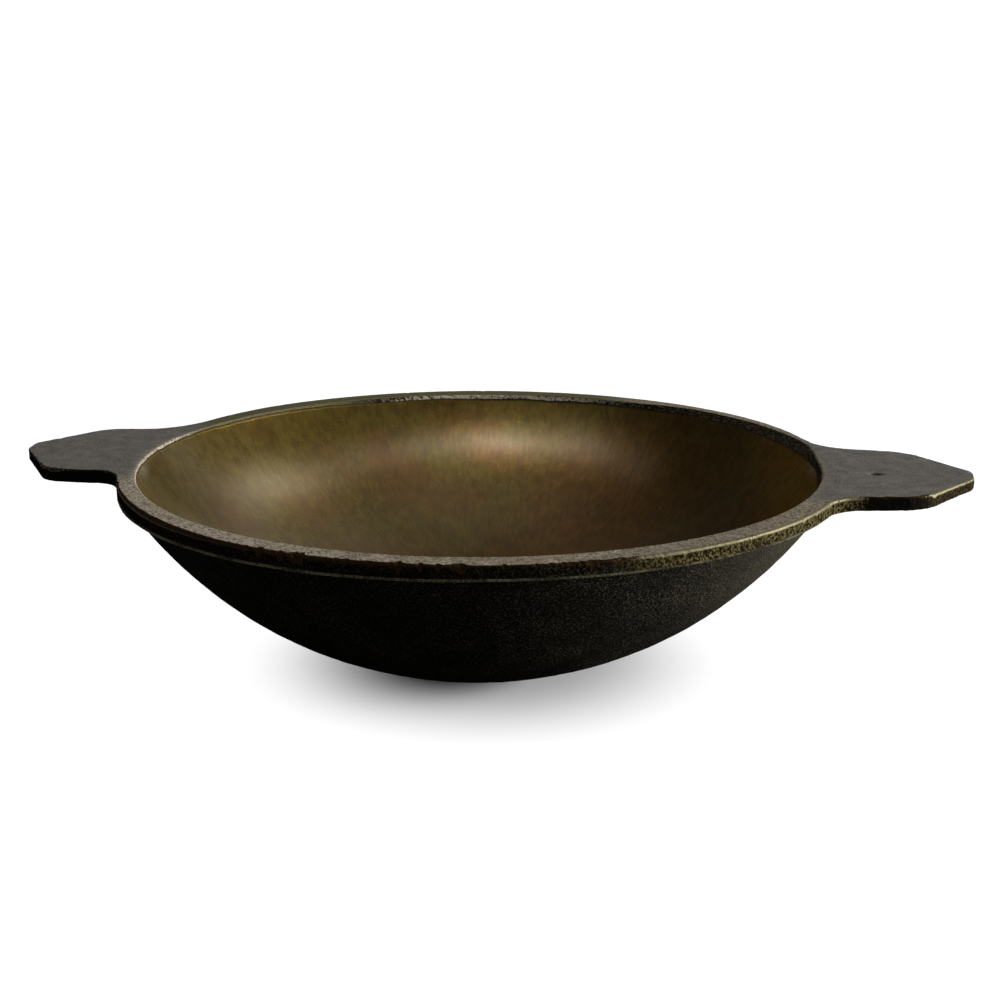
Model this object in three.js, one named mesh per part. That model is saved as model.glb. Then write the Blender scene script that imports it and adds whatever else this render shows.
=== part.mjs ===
// A round-bottomed cast iron pan with two flat lug handles. Millimetres, +Z up.
// The origin is the middle of the foot that the pan stands on, and the handles lie along X.
// The pan is one sand casting. Its nodes are the zones of that casting, which meet face to face:
// the cup, the ground skin inside it, the flange round its mouth and the two lugs.

import * as THREE from 'three';

// Driving dimensions
const height = 71; // from the foot to the lip
const rimRadius = 125; // outside of the flange
const rimThickness = 4.8; // depth of the flange and of the lugs
const lipInnerRadius = 116.8; // inner edge of the flat lip
const lipEdgeRadius = 0.8; // worn rounding along the upper outer edge
const lowerEdgeRadius = 0.3; // rounding along the lower outer edge
const bandDepth = 1.8; // unground band inside the mouth, below the lip
const bandInnerRadius = 116; // lower edge of that band
const bowlRadius = 141.4; // sphere of the outside of the cup
const bowlTopRadius = 120.7; // outside of the cup where it meets the flange
const baseThickness = 4.2; // wall at the middle of the foot
const groundSkin = 1.2; // depth of the ground layer on the cooking face
const seamHeight = 0.9; // line that the mould's parting left under the flange
const seamProud = 0.5;
const lugSpan = THREE.MathUtils.degToRad(25); // half of the flange sector cast with a lug

// Each lug is a blunt pentagon in plan: two straight sides that spread a little towards the root, two
// shoulders and a short tip. The first of each pair is for the side that comes first anticlockwise.
const leftLug = {
  halfWidths: [31, 32.2], // at the shoulders
  spreads: [0.13, 0.05], // widening of a side for each unit of length towards the root
  shoulderReaches: [146.3, 144.9],
  tipReaches: [163.4, 162.6],
  tipHalfWidth: 4.6,
  rootFillets: [21, 13],
  cornerSetbacks: [6, 5.4],
};
const rightLug = {
  halfWidths: [32, 31.6],
  spreads: [0.14, 0.12],
  shoulderReaches: [147.7, 147.6],
  tipReaches: [166.6, 167.2],
  tipHalfWidth: 4.8,
  rootFillets: [14.5, 14.8],
  cornerSetbacks: [8.2, 8.5],
};

// Fineness of the facets
const turns = 72; // facets round the pan
const archSteps = 10; // facets from the foot to the flange
const curveSteps = 4; // facets on a rounded corner of a lug

// Heights and radii that follow from the driving dimensions
const flangeBottom = height - rimThickness;
const bowlCentre = flangeBottom + Math.sqrt(bowlRadius ** 2 - bowlTopRadius ** 2);
const footRadius = Math.sqrt(bowlRadius ** 2 - bowlCentre ** 2);
const faceDepth = height - bandDepth - baseThickness;
const faceRadius = (bandInnerRadius ** 2 + faceDepth ** 2) / (2 * faceDepth);
const faceCentre = baseThickness + faceRadius;

// Radius of a sphere's level circle at a height.
function levelRadius(sphereRadius, centre, z) {
  return Math.sqrt(sphereRadius ** 2 - (z - centre) ** 2);
}

// Meridian of a sphere from a start radius up to the flange's underside, in equal steps of angle.
function meridian(sphereRadius, centre, startRadius) {
  const start = Math.asin(startRadius / sphereRadius);
  const end = Math.acos((centre - flangeBottom) / sphereRadius);
  const points = [];
  for (let i = 0; i <= archSteps; i += 1) {
    const angle = start + ((end - start) * i) / archSteps;
    points.push(new THREE.Vector2(sphereRadius * Math.sin(angle), centre - sphereRadius * Math.cos(angle)));
  }
  points[archSteps].y = flangeBottom;
  return points;
}

// Solid of revolution about Z. The profile runs anticlockwise in radius and height, axis to axis.
function revolve(profile) {
  return new THREE.LatheGeometry(profile, turns).rotateX(Math.PI / 2);
}

// Closed solid through a row of like sections, each a ring of points, with a flat cap at both ends.
// A ring runs anticlockwise in radius and height, and the sections follow anticlockwise round Z.
function loft(sections) {
  const ringSize = sections[0].length;
  const positions = sections.flat().flatMap((point) => point.toArray());
  const triangles = [];
  for (let i = 0; i + 1 < sections.length; i += 1) {
    for (let j = 0; j < ringSize; j += 1) {
      const a = i * ringSize + j;
      const b = i * ringSize + ((j + 1) % ringSize);
      triangles.push(a, a + ringSize, b + ringSize, a, b + ringSize, b);
    }
  }
  const flat = sections[0].map((point) => new THREE.Vector2(Math.hypot(point.x, point.y), point.z));
  const last = (sections.length - 1) * ringSize;
  for (const [a, b, c] of THREE.ShapeUtils.triangulateShape(flat, [])) {
    triangles.push(a, b, c);
    triangles.push(last + a, last + c, last + b);
  }
  const geometry = new THREE.BufferGeometry();
  geometry.setAttribute('position', new THREE.Float32BufferAttribute(positions, 3));
  geometry.setIndex(triangles);
  geometry.computeVertexNormals();
  return geometry;
}

// Cross-section of the flange at one point of its plan outline: lip, rounded edge, wall, underside,
// cooking face and unground band. The outward direction is the outline's normal at that point.
function flangeSection(outline, outward) {
  const angle = Math.atan2(outline.y, outline.x);
  const inner = (radius, z) => new THREE.Vector3(radius * Math.cos(angle), radius * Math.sin(angle), z);
  const edge = (inset, z) =>
    new THREE.Vector3(outline.x - outward.x * inset, outline.y - outward.y * inset, z);
  const shoulder = lipEdgeRadius * (1 - Math.SQRT1_2);
  return [
    inner(lipInnerRadius, height),
    inner(bandInnerRadius, height - bandDepth),
    inner(levelRadius(faceRadius, faceCentre, flangeBottom), flangeBottom),
    edge(lowerEdgeRadius, flangeBottom),
    edge(0, flangeBottom + lowerEdgeRadius),
    edge(0, height - lipEdgeRadius),
    edge(shoulder, height - shoulder),
    edge(lipEdgeRadius, height),
  ];
}

// Angles of the flange's plain arc that is centred on a direction, a facet apart.
function arcAngles(middle) {
  const half = Math.PI / 2 - lugSpan;
  const steps = Math.round((2 * half) / ((2 * Math.PI) / turns));
  return Array.from({ length: steps + 1 }, (_, i) => middle - half + (2 * half * i) / steps);
}

// Plain stretch of the flange between the lugs.
function rimArc(middle) {
  const sections = arcAngles(middle).map((angle) => {
    const outward = new THREE.Vector2(Math.cos(angle), Math.sin(angle));
    return flangeSection(outward.clone().multiplyScalar(rimRadius), outward);
  });
  return loft(sections);
}

// Low ridge on the flange's wall, just above its lower edge, which dies out towards the lugs.
function castingSeam(middle) {
  const bottom = flangeBottom + lowerEdgeRadius;
  const angles = arcAngles(middle);
  const sections = angles.map((angle, i) => {
    const stepsFromEnd = Math.min(i, angles.length - 1 - i);
    const proud = seamProud * Math.min(1, (stepsFromEnd + 1) / 3);
    const point = (radius, z) => new THREE.Vector3(radius * Math.cos(angle), radius * Math.sin(angle), z);
    return [
      point(rimRadius, bottom),
      point(rimRadius + proud, bottom + seamHeight / 3),
      point(rimRadius + proud, bottom + (2 * seamHeight) / 3),
      point(rimRadius, bottom + seamHeight),
    ];
  });
  return loft(sections);
}

// Adds a straight run that ends in a rounded corner on the way to the next point.
function runToCorner(path, corner, next, setback) {
  const from = path.currentPoint.clone();
  const before = corner.clone().add(from.sub(corner).setLength(setback));
  const after = corner.clone().add(next.clone().sub(corner).setLength(setback));
  path.lineTo(before.x, before.y);
  path.quadraticCurveTo(corner.x, corner.y, after.x, after.y);
}

// Hollow root fillet between the flange and one side of a lug, tangent to both. It is worked out with
// the side upwards in plan: its centre, its foot on the side, its radius and the side's slant.
function rootFillet(lug, k) {
  const radius = lug.rootFillets[k];
  const slant = Math.atan(lug.spreads[k]);
  const shoulder = new THREE.Vector2(lug.shoulderReaches[k], lug.halfWidths[k]);
  const normal = new THREE.Vector2(Math.sin(slant), Math.cos(slant));
  const across = normal.dot(shoulder) + radius;
  const along = Math.sqrt((rimRadius + radius) ** 2 - across ** 2);
  const centre = new THREE.Vector2(normal.y, -normal.x).multiplyScalar(along).addScaledVector(normal, across);
  const foot = centre.clone().addScaledVector(normal, -radius);
  return { centre, foot, radius, slant };
}

// Plan outline of one lug that points along +X, anticlockwise from the flange and back to it.
function lugOutline(lug) {
  const near = rootFillet(lug, 0);
  const far = rootFillet(lug, 1);
  const nearAngle = near.centre.angle();
  const farAngle = far.centre.angle();
  const tipSetback = lug.tipHalfWidth / 2;
  const nearShoulder = new THREE.Vector2(lug.shoulderReaches[0], -lug.halfWidths[0]);
  const nearTip = new THREE.Vector2(lug.tipReaches[0], -lug.tipHalfWidth);
  const farTip = new THREE.Vector2(lug.tipReaches[1], lug.tipHalfWidth);
  const farShoulder = new THREE.Vector2(lug.shoulderReaches[1], lug.halfWidths[1]);
  const nearFoot = Math.PI / 2 + near.slant;
  const farFoot = -Math.PI / 2 - far.slant;
  const path = new THREE.Path();
  path.absarc(0, 0, rimRadius, -lugSpan, -nearAngle, false);
  path.absarc(near.centre.x, -near.centre.y, near.radius, Math.PI - nearAngle, nearFoot, true);
  runToCorner(path, nearShoulder, nearTip, lug.cornerSetbacks[0]);
  runToCorner(path, nearTip, farTip, tipSetback);
  runToCorner(path, farTip, farShoulder, tipSetback);
  runToCorner(path, farShoulder, far.foot, lug.cornerSetbacks[1]);
  path.lineTo(far.foot.x, far.foot.y);
  path.absarc(far.centre.x, far.centre.y, far.radius, farFoot, farAngle - Math.PI, true);
  path.absarc(0, 0, rimRadius, farAngle, lugSpan, false);
  return path.getPoints(curveSteps);
}

// One lug with its sector of the flange. The side is 1 for a lug along +X and -1 for one along -X.
function lugHandle(lug, side) {
  const points = lugOutline(lug);
  const lastIndex = points.length - 1;
  const sections = points.map((point, i) => {
    const isEnd = i === 0 || i === lastIndex;
    const along = points[Math.min(i + 1, lastIndex)].clone().sub(points[Math.max(i - 1, 0)]);
    const outward = isEnd ? point.clone() : new THREE.Vector2(along.y, -along.x);
    outward.normalize();
    return flangeSection(point.clone().multiplyScalar(side), outward.multiplyScalar(side));
  });
  return loft(sections);
}

// Cup: foot, outer sphere, top edge under the flange, then down the back of the ground skin.
function bowlWall() {
  const outside = meridian(bowlRadius, bowlCentre, footRadius);
  outside[0].y = 0;
  const inside = meridian(faceRadius + groundSkin, faceCentre, 0).reverse();
  return revolve([new THREE.Vector2(0, 0), ...outside, ...inside]);
}

// Ground skin: its back against the cup, then its top edge and down the cooking face.
function cookingFace() {
  const back = meridian(faceRadius + groundSkin, faceCentre, 0);
  const face = meridian(faceRadius, faceCentre, 0).reverse();
  return revolve([...back, ...face]);
}

// Iron in the colour of one zone.
function iron(colour, roughness, metalness) {
  return new THREE.MeshStandardMaterial({ color: colour, roughness, metalness });
}

const castSkin = () => iron(0x1c1b18, 0.8, 0.4);
const wornRim = () => iron(0x6f6a5e, 0.6, 0.6);
const lugTop = () => iron(0x33332f, 0.7, 0.5);
const groundIron = () => iron(0x5a4a26, 0.35, 0.8);
const seamEdge = () => iron(0x4c4a40, 0.6, 0.6);

const toFront = -Math.PI / 2;
const toBack = Math.PI / 2;

const zones = [
  ['bowl_wall', bowlWall(), castSkin()],
  ['cooking_face', cookingFace(), groundIron()],
  ['rim_front', rimArc(toFront), wornRim()],
  ['rim_back', rimArc(toBack), wornRim()],
  ['left_lug_handle', lugHandle(leftLug, -1), lugTop()],
  ['right_lug_handle', lugHandle(rightLug, 1), lugTop()],
  ['front_casting_seam', castingSeam(toFront), seamEdge()],
  ['back_casting_seam', castingSeam(toBack), seamEdge()],
];

const pan = new THREE.Group();
for (const [name, geometry, material] of zones) {
  const mesh = new THREE.Mesh(geometry, material);
  mesh.name = name;
  pan.add(mesh);
}

export default pan;
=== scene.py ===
"""Looks of a round-bottomed cast iron pan with two flat lug handles.

The pan is one sand casting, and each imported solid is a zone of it. Every class below makes the fine
surface of one kind of zone: the cup, the ground cooking face, the flange with its lugs, and the seams
that the mould left. Sizes are metres in the solids' own frame: +Z up, lugs along X, the front towards -Y.
"""

import itertools
import logging
import math
from dataclasses import dataclass
from enum import Enum, IntEnum

import bpy
import numpy as np
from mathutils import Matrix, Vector


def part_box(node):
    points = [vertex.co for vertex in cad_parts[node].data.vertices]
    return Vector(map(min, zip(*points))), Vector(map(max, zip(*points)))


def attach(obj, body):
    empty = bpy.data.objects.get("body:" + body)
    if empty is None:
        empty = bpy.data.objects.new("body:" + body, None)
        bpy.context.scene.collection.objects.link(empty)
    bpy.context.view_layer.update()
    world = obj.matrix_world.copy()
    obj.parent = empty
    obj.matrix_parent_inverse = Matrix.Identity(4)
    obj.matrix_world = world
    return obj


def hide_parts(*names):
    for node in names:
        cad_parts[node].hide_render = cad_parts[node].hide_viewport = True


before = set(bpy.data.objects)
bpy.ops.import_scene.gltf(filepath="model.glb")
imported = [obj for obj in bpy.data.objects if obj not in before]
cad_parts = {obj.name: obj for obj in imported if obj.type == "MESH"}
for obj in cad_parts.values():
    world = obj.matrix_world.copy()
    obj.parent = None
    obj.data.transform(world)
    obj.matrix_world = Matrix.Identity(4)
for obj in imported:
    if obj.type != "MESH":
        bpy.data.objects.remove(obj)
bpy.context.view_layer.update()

MM = 0.001
BODY = "root"
LOG = logging.getLogger("pan")

Colour = tuple[float, float, float]
Shares = dict[str, np.ndarray]


class Side(Enum):
    """Which way a lug points along X."""

    LEFT = -1.0
    RIGHT = 1.0


class Facing(Enum):
    """Middle direction of a plain stretch of the flange, as an angle round Z."""

    FRONT = -math.pi / 2
    BACK = math.pi / 2


class Share(Enum):
    """Names of the shares painted on the flange's points, which tell its finishes apart."""

    GROUND = "ground_share"
    BAND = "band_share"
    TOP = "top_share"
    EDGE = "edge_share"
    WALL = "wall_share"
    # Wear and painted light: brightens the edges at the front right and the band's specks at the back.
    RUB = "rub_and_light_share"
    PATINA = "patina_share"
    PIT = "pit_share"
    LUG = "lug_share"


class Stretch(IntEnum):
    """Stretches of the flange's cross-section, in the order in which its points run."""

    INNER_EDGE = 0
    BAND = 1
    STRIP = 2
    UNDERSIDE = 3
    LOWER_EDGE = 4
    WALL = 5
    BEVEL = 6
    TOP = 7


def smooth_step(low: float, high: float, value: np.ndarray) -> np.ndarray:
    """Rises smoothly from 0 at low to 1 at high, by 3t^2 - 2t^3.

    Args:
        low: Value at which the step starts.
        high: Value at which the step ends.
        value: Where to take the step.

    Returns:
        The step at each value.
    """
    t = np.clip((value - low) / (high - low), 0.0, 1.0)
    return t * t * (3.0 - 2.0 * t)


@dataclass(frozen=True)
class PanSizes:
    """Driving sizes of the casting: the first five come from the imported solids' boxes."""

    height: float
    rim_radius: float
    flange_bottom: float
    bowl_top_radius: float
    seam_radius: float
    base_thickness: float = 4.2 * MM
    ground_skin: float = 1.2 * MM
    lip_inner_radius: float = 116.8 * MM
    band_depth: float = 1.8 * MM
    band_inner_radius: float = 116.0 * MM
    bowl_radius: float = 141.4 * MM
    lug_span: float = math.radians(25.0)

    SEAT_POLE = 0.04

    @classmethod
    def from_frame(cls) -> "PanSizes":
        """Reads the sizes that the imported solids' boxes give.

        Returns:
            The sizes of the casting.
        """
        bowl_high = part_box("bowl_wall")[1]
        rim_low, rim_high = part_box("rim_front")
        seam_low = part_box("front_casting_seam")[0]
        return cls(
            height=rim_high.z,
            rim_radius=-rim_low.y,
            flange_bottom=bowl_high.z,
            bowl_top_radius=bowl_high.x,
            seam_radius=-seam_low.y,
        )

    @property
    def face_radius(self) -> float:
        """Radius of the cooking face's sphere, through its lowest point and the band's lower edge."""
        depth = self.height - self.band_depth - self.base_thickness
        return (self.band_inner_radius**2 + depth**2) / (2.0 * depth)

    @property
    def face_centre(self) -> float:
        """Height of the centre of the cooking face's sphere."""
        return self.base_thickness + self.face_radius

    @property
    def seat_radius(self) -> float:
        """Radius of the sphere on which the ground skin lies in the cup."""
        return self.face_radius + self.ground_skin

    @property
    def seat_low(self) -> float:
        """Height of that sphere's lowest point."""
        return self.face_centre - self.seat_radius

    @property
    def bowl_centre(self) -> float:
        """Height of the centre of the cup's outer sphere."""
        return self.flange_bottom + math.sqrt(self.bowl_radius**2 - self.bowl_top_radius**2)

    @property
    def foot_radius(self) -> float:
        """Radius of the flat that the pan stands on."""
        return math.sqrt(self.bowl_radius**2 - self.bowl_centre**2)

    def face_level(self, height: np.ndarray | float) -> np.ndarray:
        """Radius of the cooking face's level circle at a height, by Pythagoras."""
        return np.sqrt(self.face_radius**2 - (np.asarray(height) - self.face_centre) ** 2)

    def seat_rings(self, rows: int, columns: int) -> np.ndarray:
        """Level rings of the ground skin's seat, from the flange down to nearly the axis.

        Args:
            rows: Number of rings.
            columns: Points in a ring.

        Returns:
            Points as rows by columns by x, y, z.
        """
        top = math.acos((self.face_centre - self.flange_bottom) / self.seat_radius)
        polar = np.linspace(top, self.SEAT_POLE, rows)
        height = self.face_centre - self.seat_radius * np.cos(polar)
        return turn(self.seat_radius * np.sin(polar), height, columns)


class IronNoise:
    """Seeded gradient noise in space, so that neighbouring zones share one grain where they meet."""

    CELLS = 256
    GAIN = 1.7

    def __init__(self, seed: int) -> None:
        """Draws the lattice's order and its gradients.

        Args:
            seed: Seed of the draw.
        """
        draw = np.random.default_rng(seed)
        self._order = np.tile(draw.permutation(self.CELLS), 3)
        directions = draw.normal(size=(self.CELLS, 3))
        self._gradients = directions / np.linalg.norm(directions, axis=1, keepdims=True)

    def _layer(self, points: np.ndarray) -> np.ndarray:
        """One layer: the eight corners' gradient slopes, blended by 6t^5 - 15t^4 + 10t^3.

        Args:
            points: Points in lattice cells, with x, y, z last.

        Returns:
            Noise of about -1 to 1 at each point.
        """
        cell = np.floor(points).astype(np.int64)
        offset = points - cell
        fade = offset**3 * (offset * (offset * 6.0 - 15.0) + 10.0)
        total = np.zeros(points.shape[:-1])
        for corner in itertools.product((0, 1), repeat=3):
            index = (cell + corner) % self.CELLS
            hashed = self._order[index[..., 0]]
            hashed = self._order[hashed + index[..., 1]]
            hashed = self._order[hashed + index[..., 2]]
            slope = ((offset - corner) * self._gradients[hashed]).sum(axis=-1)
            weight = np.where(np.array(corner, dtype=bool), fade, 1.0 - fade).prod(axis=-1)
            total += weight * slope
        return self.GAIN * total

    def at(self, points: np.ndarray, size: float, octaves: int = 1) -> np.ndarray:
        """Sum of layers, each half as large and half as strong as the one before.

        Args:
            points: Points in metres, with x, y, z last.
            size: Size of the first layer's lumps in metres.
            octaves: Number of layers.

        Returns:
            Noise of about -1 to 1 at each point.
        """
        total = np.zeros(points.shape[:-1])
        strength = 1.0
        for octave in range(octaves):
            shift = 17.3 * octave
            total += strength * self._layer(points * (2.0**octave / size) + shift)
            strength *= 0.5
        return total


@dataclass(frozen=True)
class CastingMarks:
    """Unevenness of the whole casting: what the sand, the grinding wheel and use left on it."""

    sand: IronNoise = IronNoise(11)
    wheel: IronNoise = IronNoise(23)
    knocks: IronNoise = IronNoise(37)
    lump: float = 0.10 * MM
    sag: float = 0.22 * MM
    ground_wave: float = 0.11 * MM
    ground_dimple: float = 0.015 * MM

    def skin(self, points: np.ndarray) -> np.ndarray:
        """Height of the as-cast skin: slow sag of the mould plus the lumps of its sand.

        Args:
            points: Points on the true surface.

        Returns:
            Height above that surface.
        """
        slow = self.sag * self.sand.at(points, 55 * MM)
        return slow + self.lump * self.sand.at(points, 5.5 * MM, octaves=2)

    def ground(self, points: np.ndarray) -> np.ndarray:
        """Height of the ground face: long waves of the wheel plus faint dimples.

        Args:
            points: Points on the true surface.

        Returns:
            Height above that surface.
        """
        waves = self.ground_wave * self.wheel.at(points, 34 * MM)
        return waves + self.ground_dimple * self.wheel.at(points, 8 * MM)


@dataclass
class Shell:
    """Points, faces and painted shares of one closed surface."""

    points: np.ndarray
    faces: list[np.ndarray]
    shares: Shares

    SHARP = math.radians(48.0)

    def _volume(self) -> float:
        """Signed volume: the sum over triangle fans of a . (b x c) / 6, positive if faces point out."""
        total = 0.0
        for group in self.faces:
            for k in range(1, group.shape[1] - 1):
                a, b, c = (self.points[group[:, i]] for i in (0, k, k + 1))
                total += float(np.einsum("ij,ij->", a, np.cross(b, c))) / 6.0
        return total

    def to_object(self, name: str) -> bpy.types.Object:
        """Makes the mesh object, at the origin, with its faces pointing out.

        Args:
            name: Name of the piece.

        Returns:
            The new object, linked to the scene.
        """
        outward = self._volume() > 0.0
        faces = self.faces if outward else [group[:, ::-1] for group in self.faces]
        corners = np.concatenate([group.ravel() for group in faces])
        counts = np.concatenate([np.full(len(group), group.shape[1]) for group in faces])
        starts = np.cumsum(counts) - counts
        mesh = bpy.data.meshes.new(name)
        mesh.vertices.add(len(self.points))
        mesh.vertices.foreach_set("co", self.points.astype(np.float32).ravel())
        mesh.loops.add(len(corners))
        mesh.loops.foreach_set("vertex_index", corners.astype(np.int32))
        mesh.polygons.add(len(counts))
        mesh.polygons.foreach_set("loop_start", starts.astype(np.int32))
        mesh.update(calc_edges=True)
        mesh.validate()
        mesh.polygons.foreach_set("use_smooth", np.ones(len(counts), dtype=bool))
        mesh.set_sharp_from_angle(angle=self.SHARP)
        for share, values in self.shares.items():
            layer = mesh.attributes.new(share, "FLOAT", "POINT")
            layer.data.foreach_set("value", values.astype(np.float32).ravel())
        piece = bpy.data.objects.new(name, mesh)
        bpy.context.scene.collection.objects.link(piece)
        return piece


def grid_quads(rows: int, columns: int) -> np.ndarray:
    """Quads between the rings of a grid whose every row closes on itself.

    Args:
        rows: Number of rings.
        columns: Points in a ring.

    Returns:
        Four point numbers for each quad.
    """
    start = np.arange(rows - 1)[:, None] * columns
    here = np.arange(columns)[None, :]
    ahead = (here + 1) % columns
    quad = [start + here, start + ahead, start + columns + ahead, start + columns + here]
    return np.stack(np.broadcast_arrays(*quad), axis=-1).reshape(-1, 4)


def lathe(rings: np.ndarray, first_pole: float, last_pole: float) -> Shell:
    """Closed surface through level rings, with a point on the axis at both ends.

    Args:
        rings: Points of the rings, as rows by columns by x, y, z.
        first_pole: Height of the axis point before the first ring.
        last_pole: Height of the axis point after the last ring.

    Returns:
        The closed surface.
    """
    rows, columns = rings.shape[:2]
    poles = np.array([[0.0, 0.0, first_pole], [0.0, 0.0, last_pole]])
    points = np.concatenate([rings.reshape(-1, 3), poles])
    here = np.arange(columns)
    ahead = (here + 1) % columns
    last_row = (rows - 1) * columns
    first_fan = np.stack([np.full(columns, rows * columns), ahead, here], axis=-1)
    last_fan = np.stack([np.full(columns, rows * columns + 1), last_row + here, last_row + ahead], axis=-1)
    return Shell(points, [grid_quads(rows, columns), first_fan, last_fan], {})


def turn(radius: np.ndarray, height: np.ndarray, columns: int) -> np.ndarray:
    """Carries a profile round Z: the point at angle a is (r cos a, r sin a, z).

    Args:
        radius: Radius of each profile point.
        height: Height of each profile point.
        columns: Number of angles, equally spaced.

    Returns:
        Points as profile by angle by x, y, z.
    """
    angle = np.linspace(0.0, 2.0 * math.pi, columns, endpoint=False)
    x = radius[:, None] * np.cos(angle)
    y = radius[:, None] * np.sin(angle)
    return np.stack([x, y, np.broadcast_to(height[:, None], x.shape)], axis=-1)


def unit(angle: np.ndarray) -> np.ndarray:
    """Directions in plan at angles round Z."""
    return np.stack([np.cos(angle), np.sin(angle)], axis=-1)


def plan_radius(points: np.ndarray) -> np.ndarray:
    """Distance of points from the axis."""
    return np.hypot(points[..., 0], points[..., 1])


def raised(plan: np.ndarray, height: np.ndarray) -> np.ndarray:
    """Points of a plan, each at its height."""
    return np.concatenate([plan, height[..., None]], axis=-1)


def tube(points: np.ndarray, shares: Shares) -> Shell:
    """Closed surface through rings, with a flat cap at both ends.

    Args:
        points: Points as rings by points of a ring by x, y, z.
        shares: Shares painted on the points.

    Returns:
        The closed surface.
    """
    rows, ring = points.shape[:2]
    caps = np.stack([np.arange(ring)[::-1], (rows - 1) * ring + np.arange(ring)])
    return Shell(points.reshape(-1, 3), [grid_quads(rows, ring), caps], shares)


def bend(before: np.ndarray, corner: np.ndarray, after: np.ndarray, t: np.ndarray) -> np.ndarray:
    """Rounded corner as a quadratic curve: (1-t)^2 before + 2t(1-t) corner + t^2 after."""
    return (1.0 - t) ** 2 * before + 2.0 * t * (1.0 - t) * corner + t**2 * after


class Signal:
    """A number that varies over a surface: a socket whose arithmetic adds Math nodes."""

    def __init__(self, sheet: "ShaderSheet", socket: bpy.types.NodeSocket) -> None:
        """Wraps a socket.

        Args:
            sheet: Node sheet that the socket is on.
            socket: Output socket that carries the number.
        """
        self.sheet = sheet
        self.socket = socket

    def _math(self, operation: str, first: "Signal | float", second: "Signal | float") -> "Signal":
        """Adds one Math node.

        Args:
            operation: Math node's operation.
            first: First number.
            second: Second number.

        Returns:
            The result.
        """
        node = self.sheet.node("ShaderNodeMath", {"operation": operation}, {0: first, 1: second})
        return Signal(self.sheet, node.outputs[0])

    def __add__(self, other: "Signal | float") -> "Signal":
        """Sum."""
        return self._math("ADD", self, other)

    def __radd__(self, other: float) -> "Signal":
        """Sum with a plain number first."""
        return self._math("ADD", other, self)

    def __sub__(self, other: "Signal | float") -> "Signal":
        """Difference."""
        return self._math("SUBTRACT", self, other)

    def __rsub__(self, other: float) -> "Signal":
        """Difference from a plain number."""
        return self._math("SUBTRACT", other, self)

    def __mul__(self, other: "Signal | float") -> "Signal":
        """Product."""
        return self._math("MULTIPLY", self, other)

    def __rmul__(self, other: float) -> "Signal":
        """Product with a plain number first."""
        return self._math("MULTIPLY", other, self)

    def __truediv__(self, other: "Signal | float") -> "Signal":
        """Quotient."""
        return self._math("DIVIDE", self, other)

    def __pow__(self, other: float) -> "Signal":
        """Power."""
        return self._math("POWER", self, other)

    def exponent(self) -> "Signal":
        """The number e raised to this."""
        return self._math("EXPONENT", self, 0.0)

    def arc_sine(self) -> "Signal":
        """Angle whose sine this is."""
        return self._math("ARCSINE", self, 0.0)

    def highest(self, other: "Signal | float") -> "Signal":
        """The larger of two numbers."""
        return self._math("MAXIMUM", self, other)

    def step(self, low: float, high: float) -> "Signal":
        """Smooth step from 0 at low to 1 at high.

        Args:
            low: Where the step starts.
            high: Where the step ends.

        Returns:
            The step.
        """
        settings = {"interpolation_type": "SMOOTHSTEP"}
        inputs = {"Value": self, "From Min": low, "From Max": high}
        return Signal(self.sheet, self.sheet.node("ShaderNodeMapRange", settings, inputs).outputs[0])


Number = Signal | float
Paint = bpy.types.NodeSocket | Colour


def blend_numbers(share: Signal, first: Number, second: Number) -> Number:
    """Number between two by a share: first + (second - first) share, or the number if they are equal.

    Args:
        share: 0 for the first, 1 for the second.
        first: Number where the share is 0.
        second: Number where the share is 1.

    Returns:
        The blend.
    """
    if isinstance(first, float) and first == second:
        return first
    return first + (second - first) * share


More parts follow.
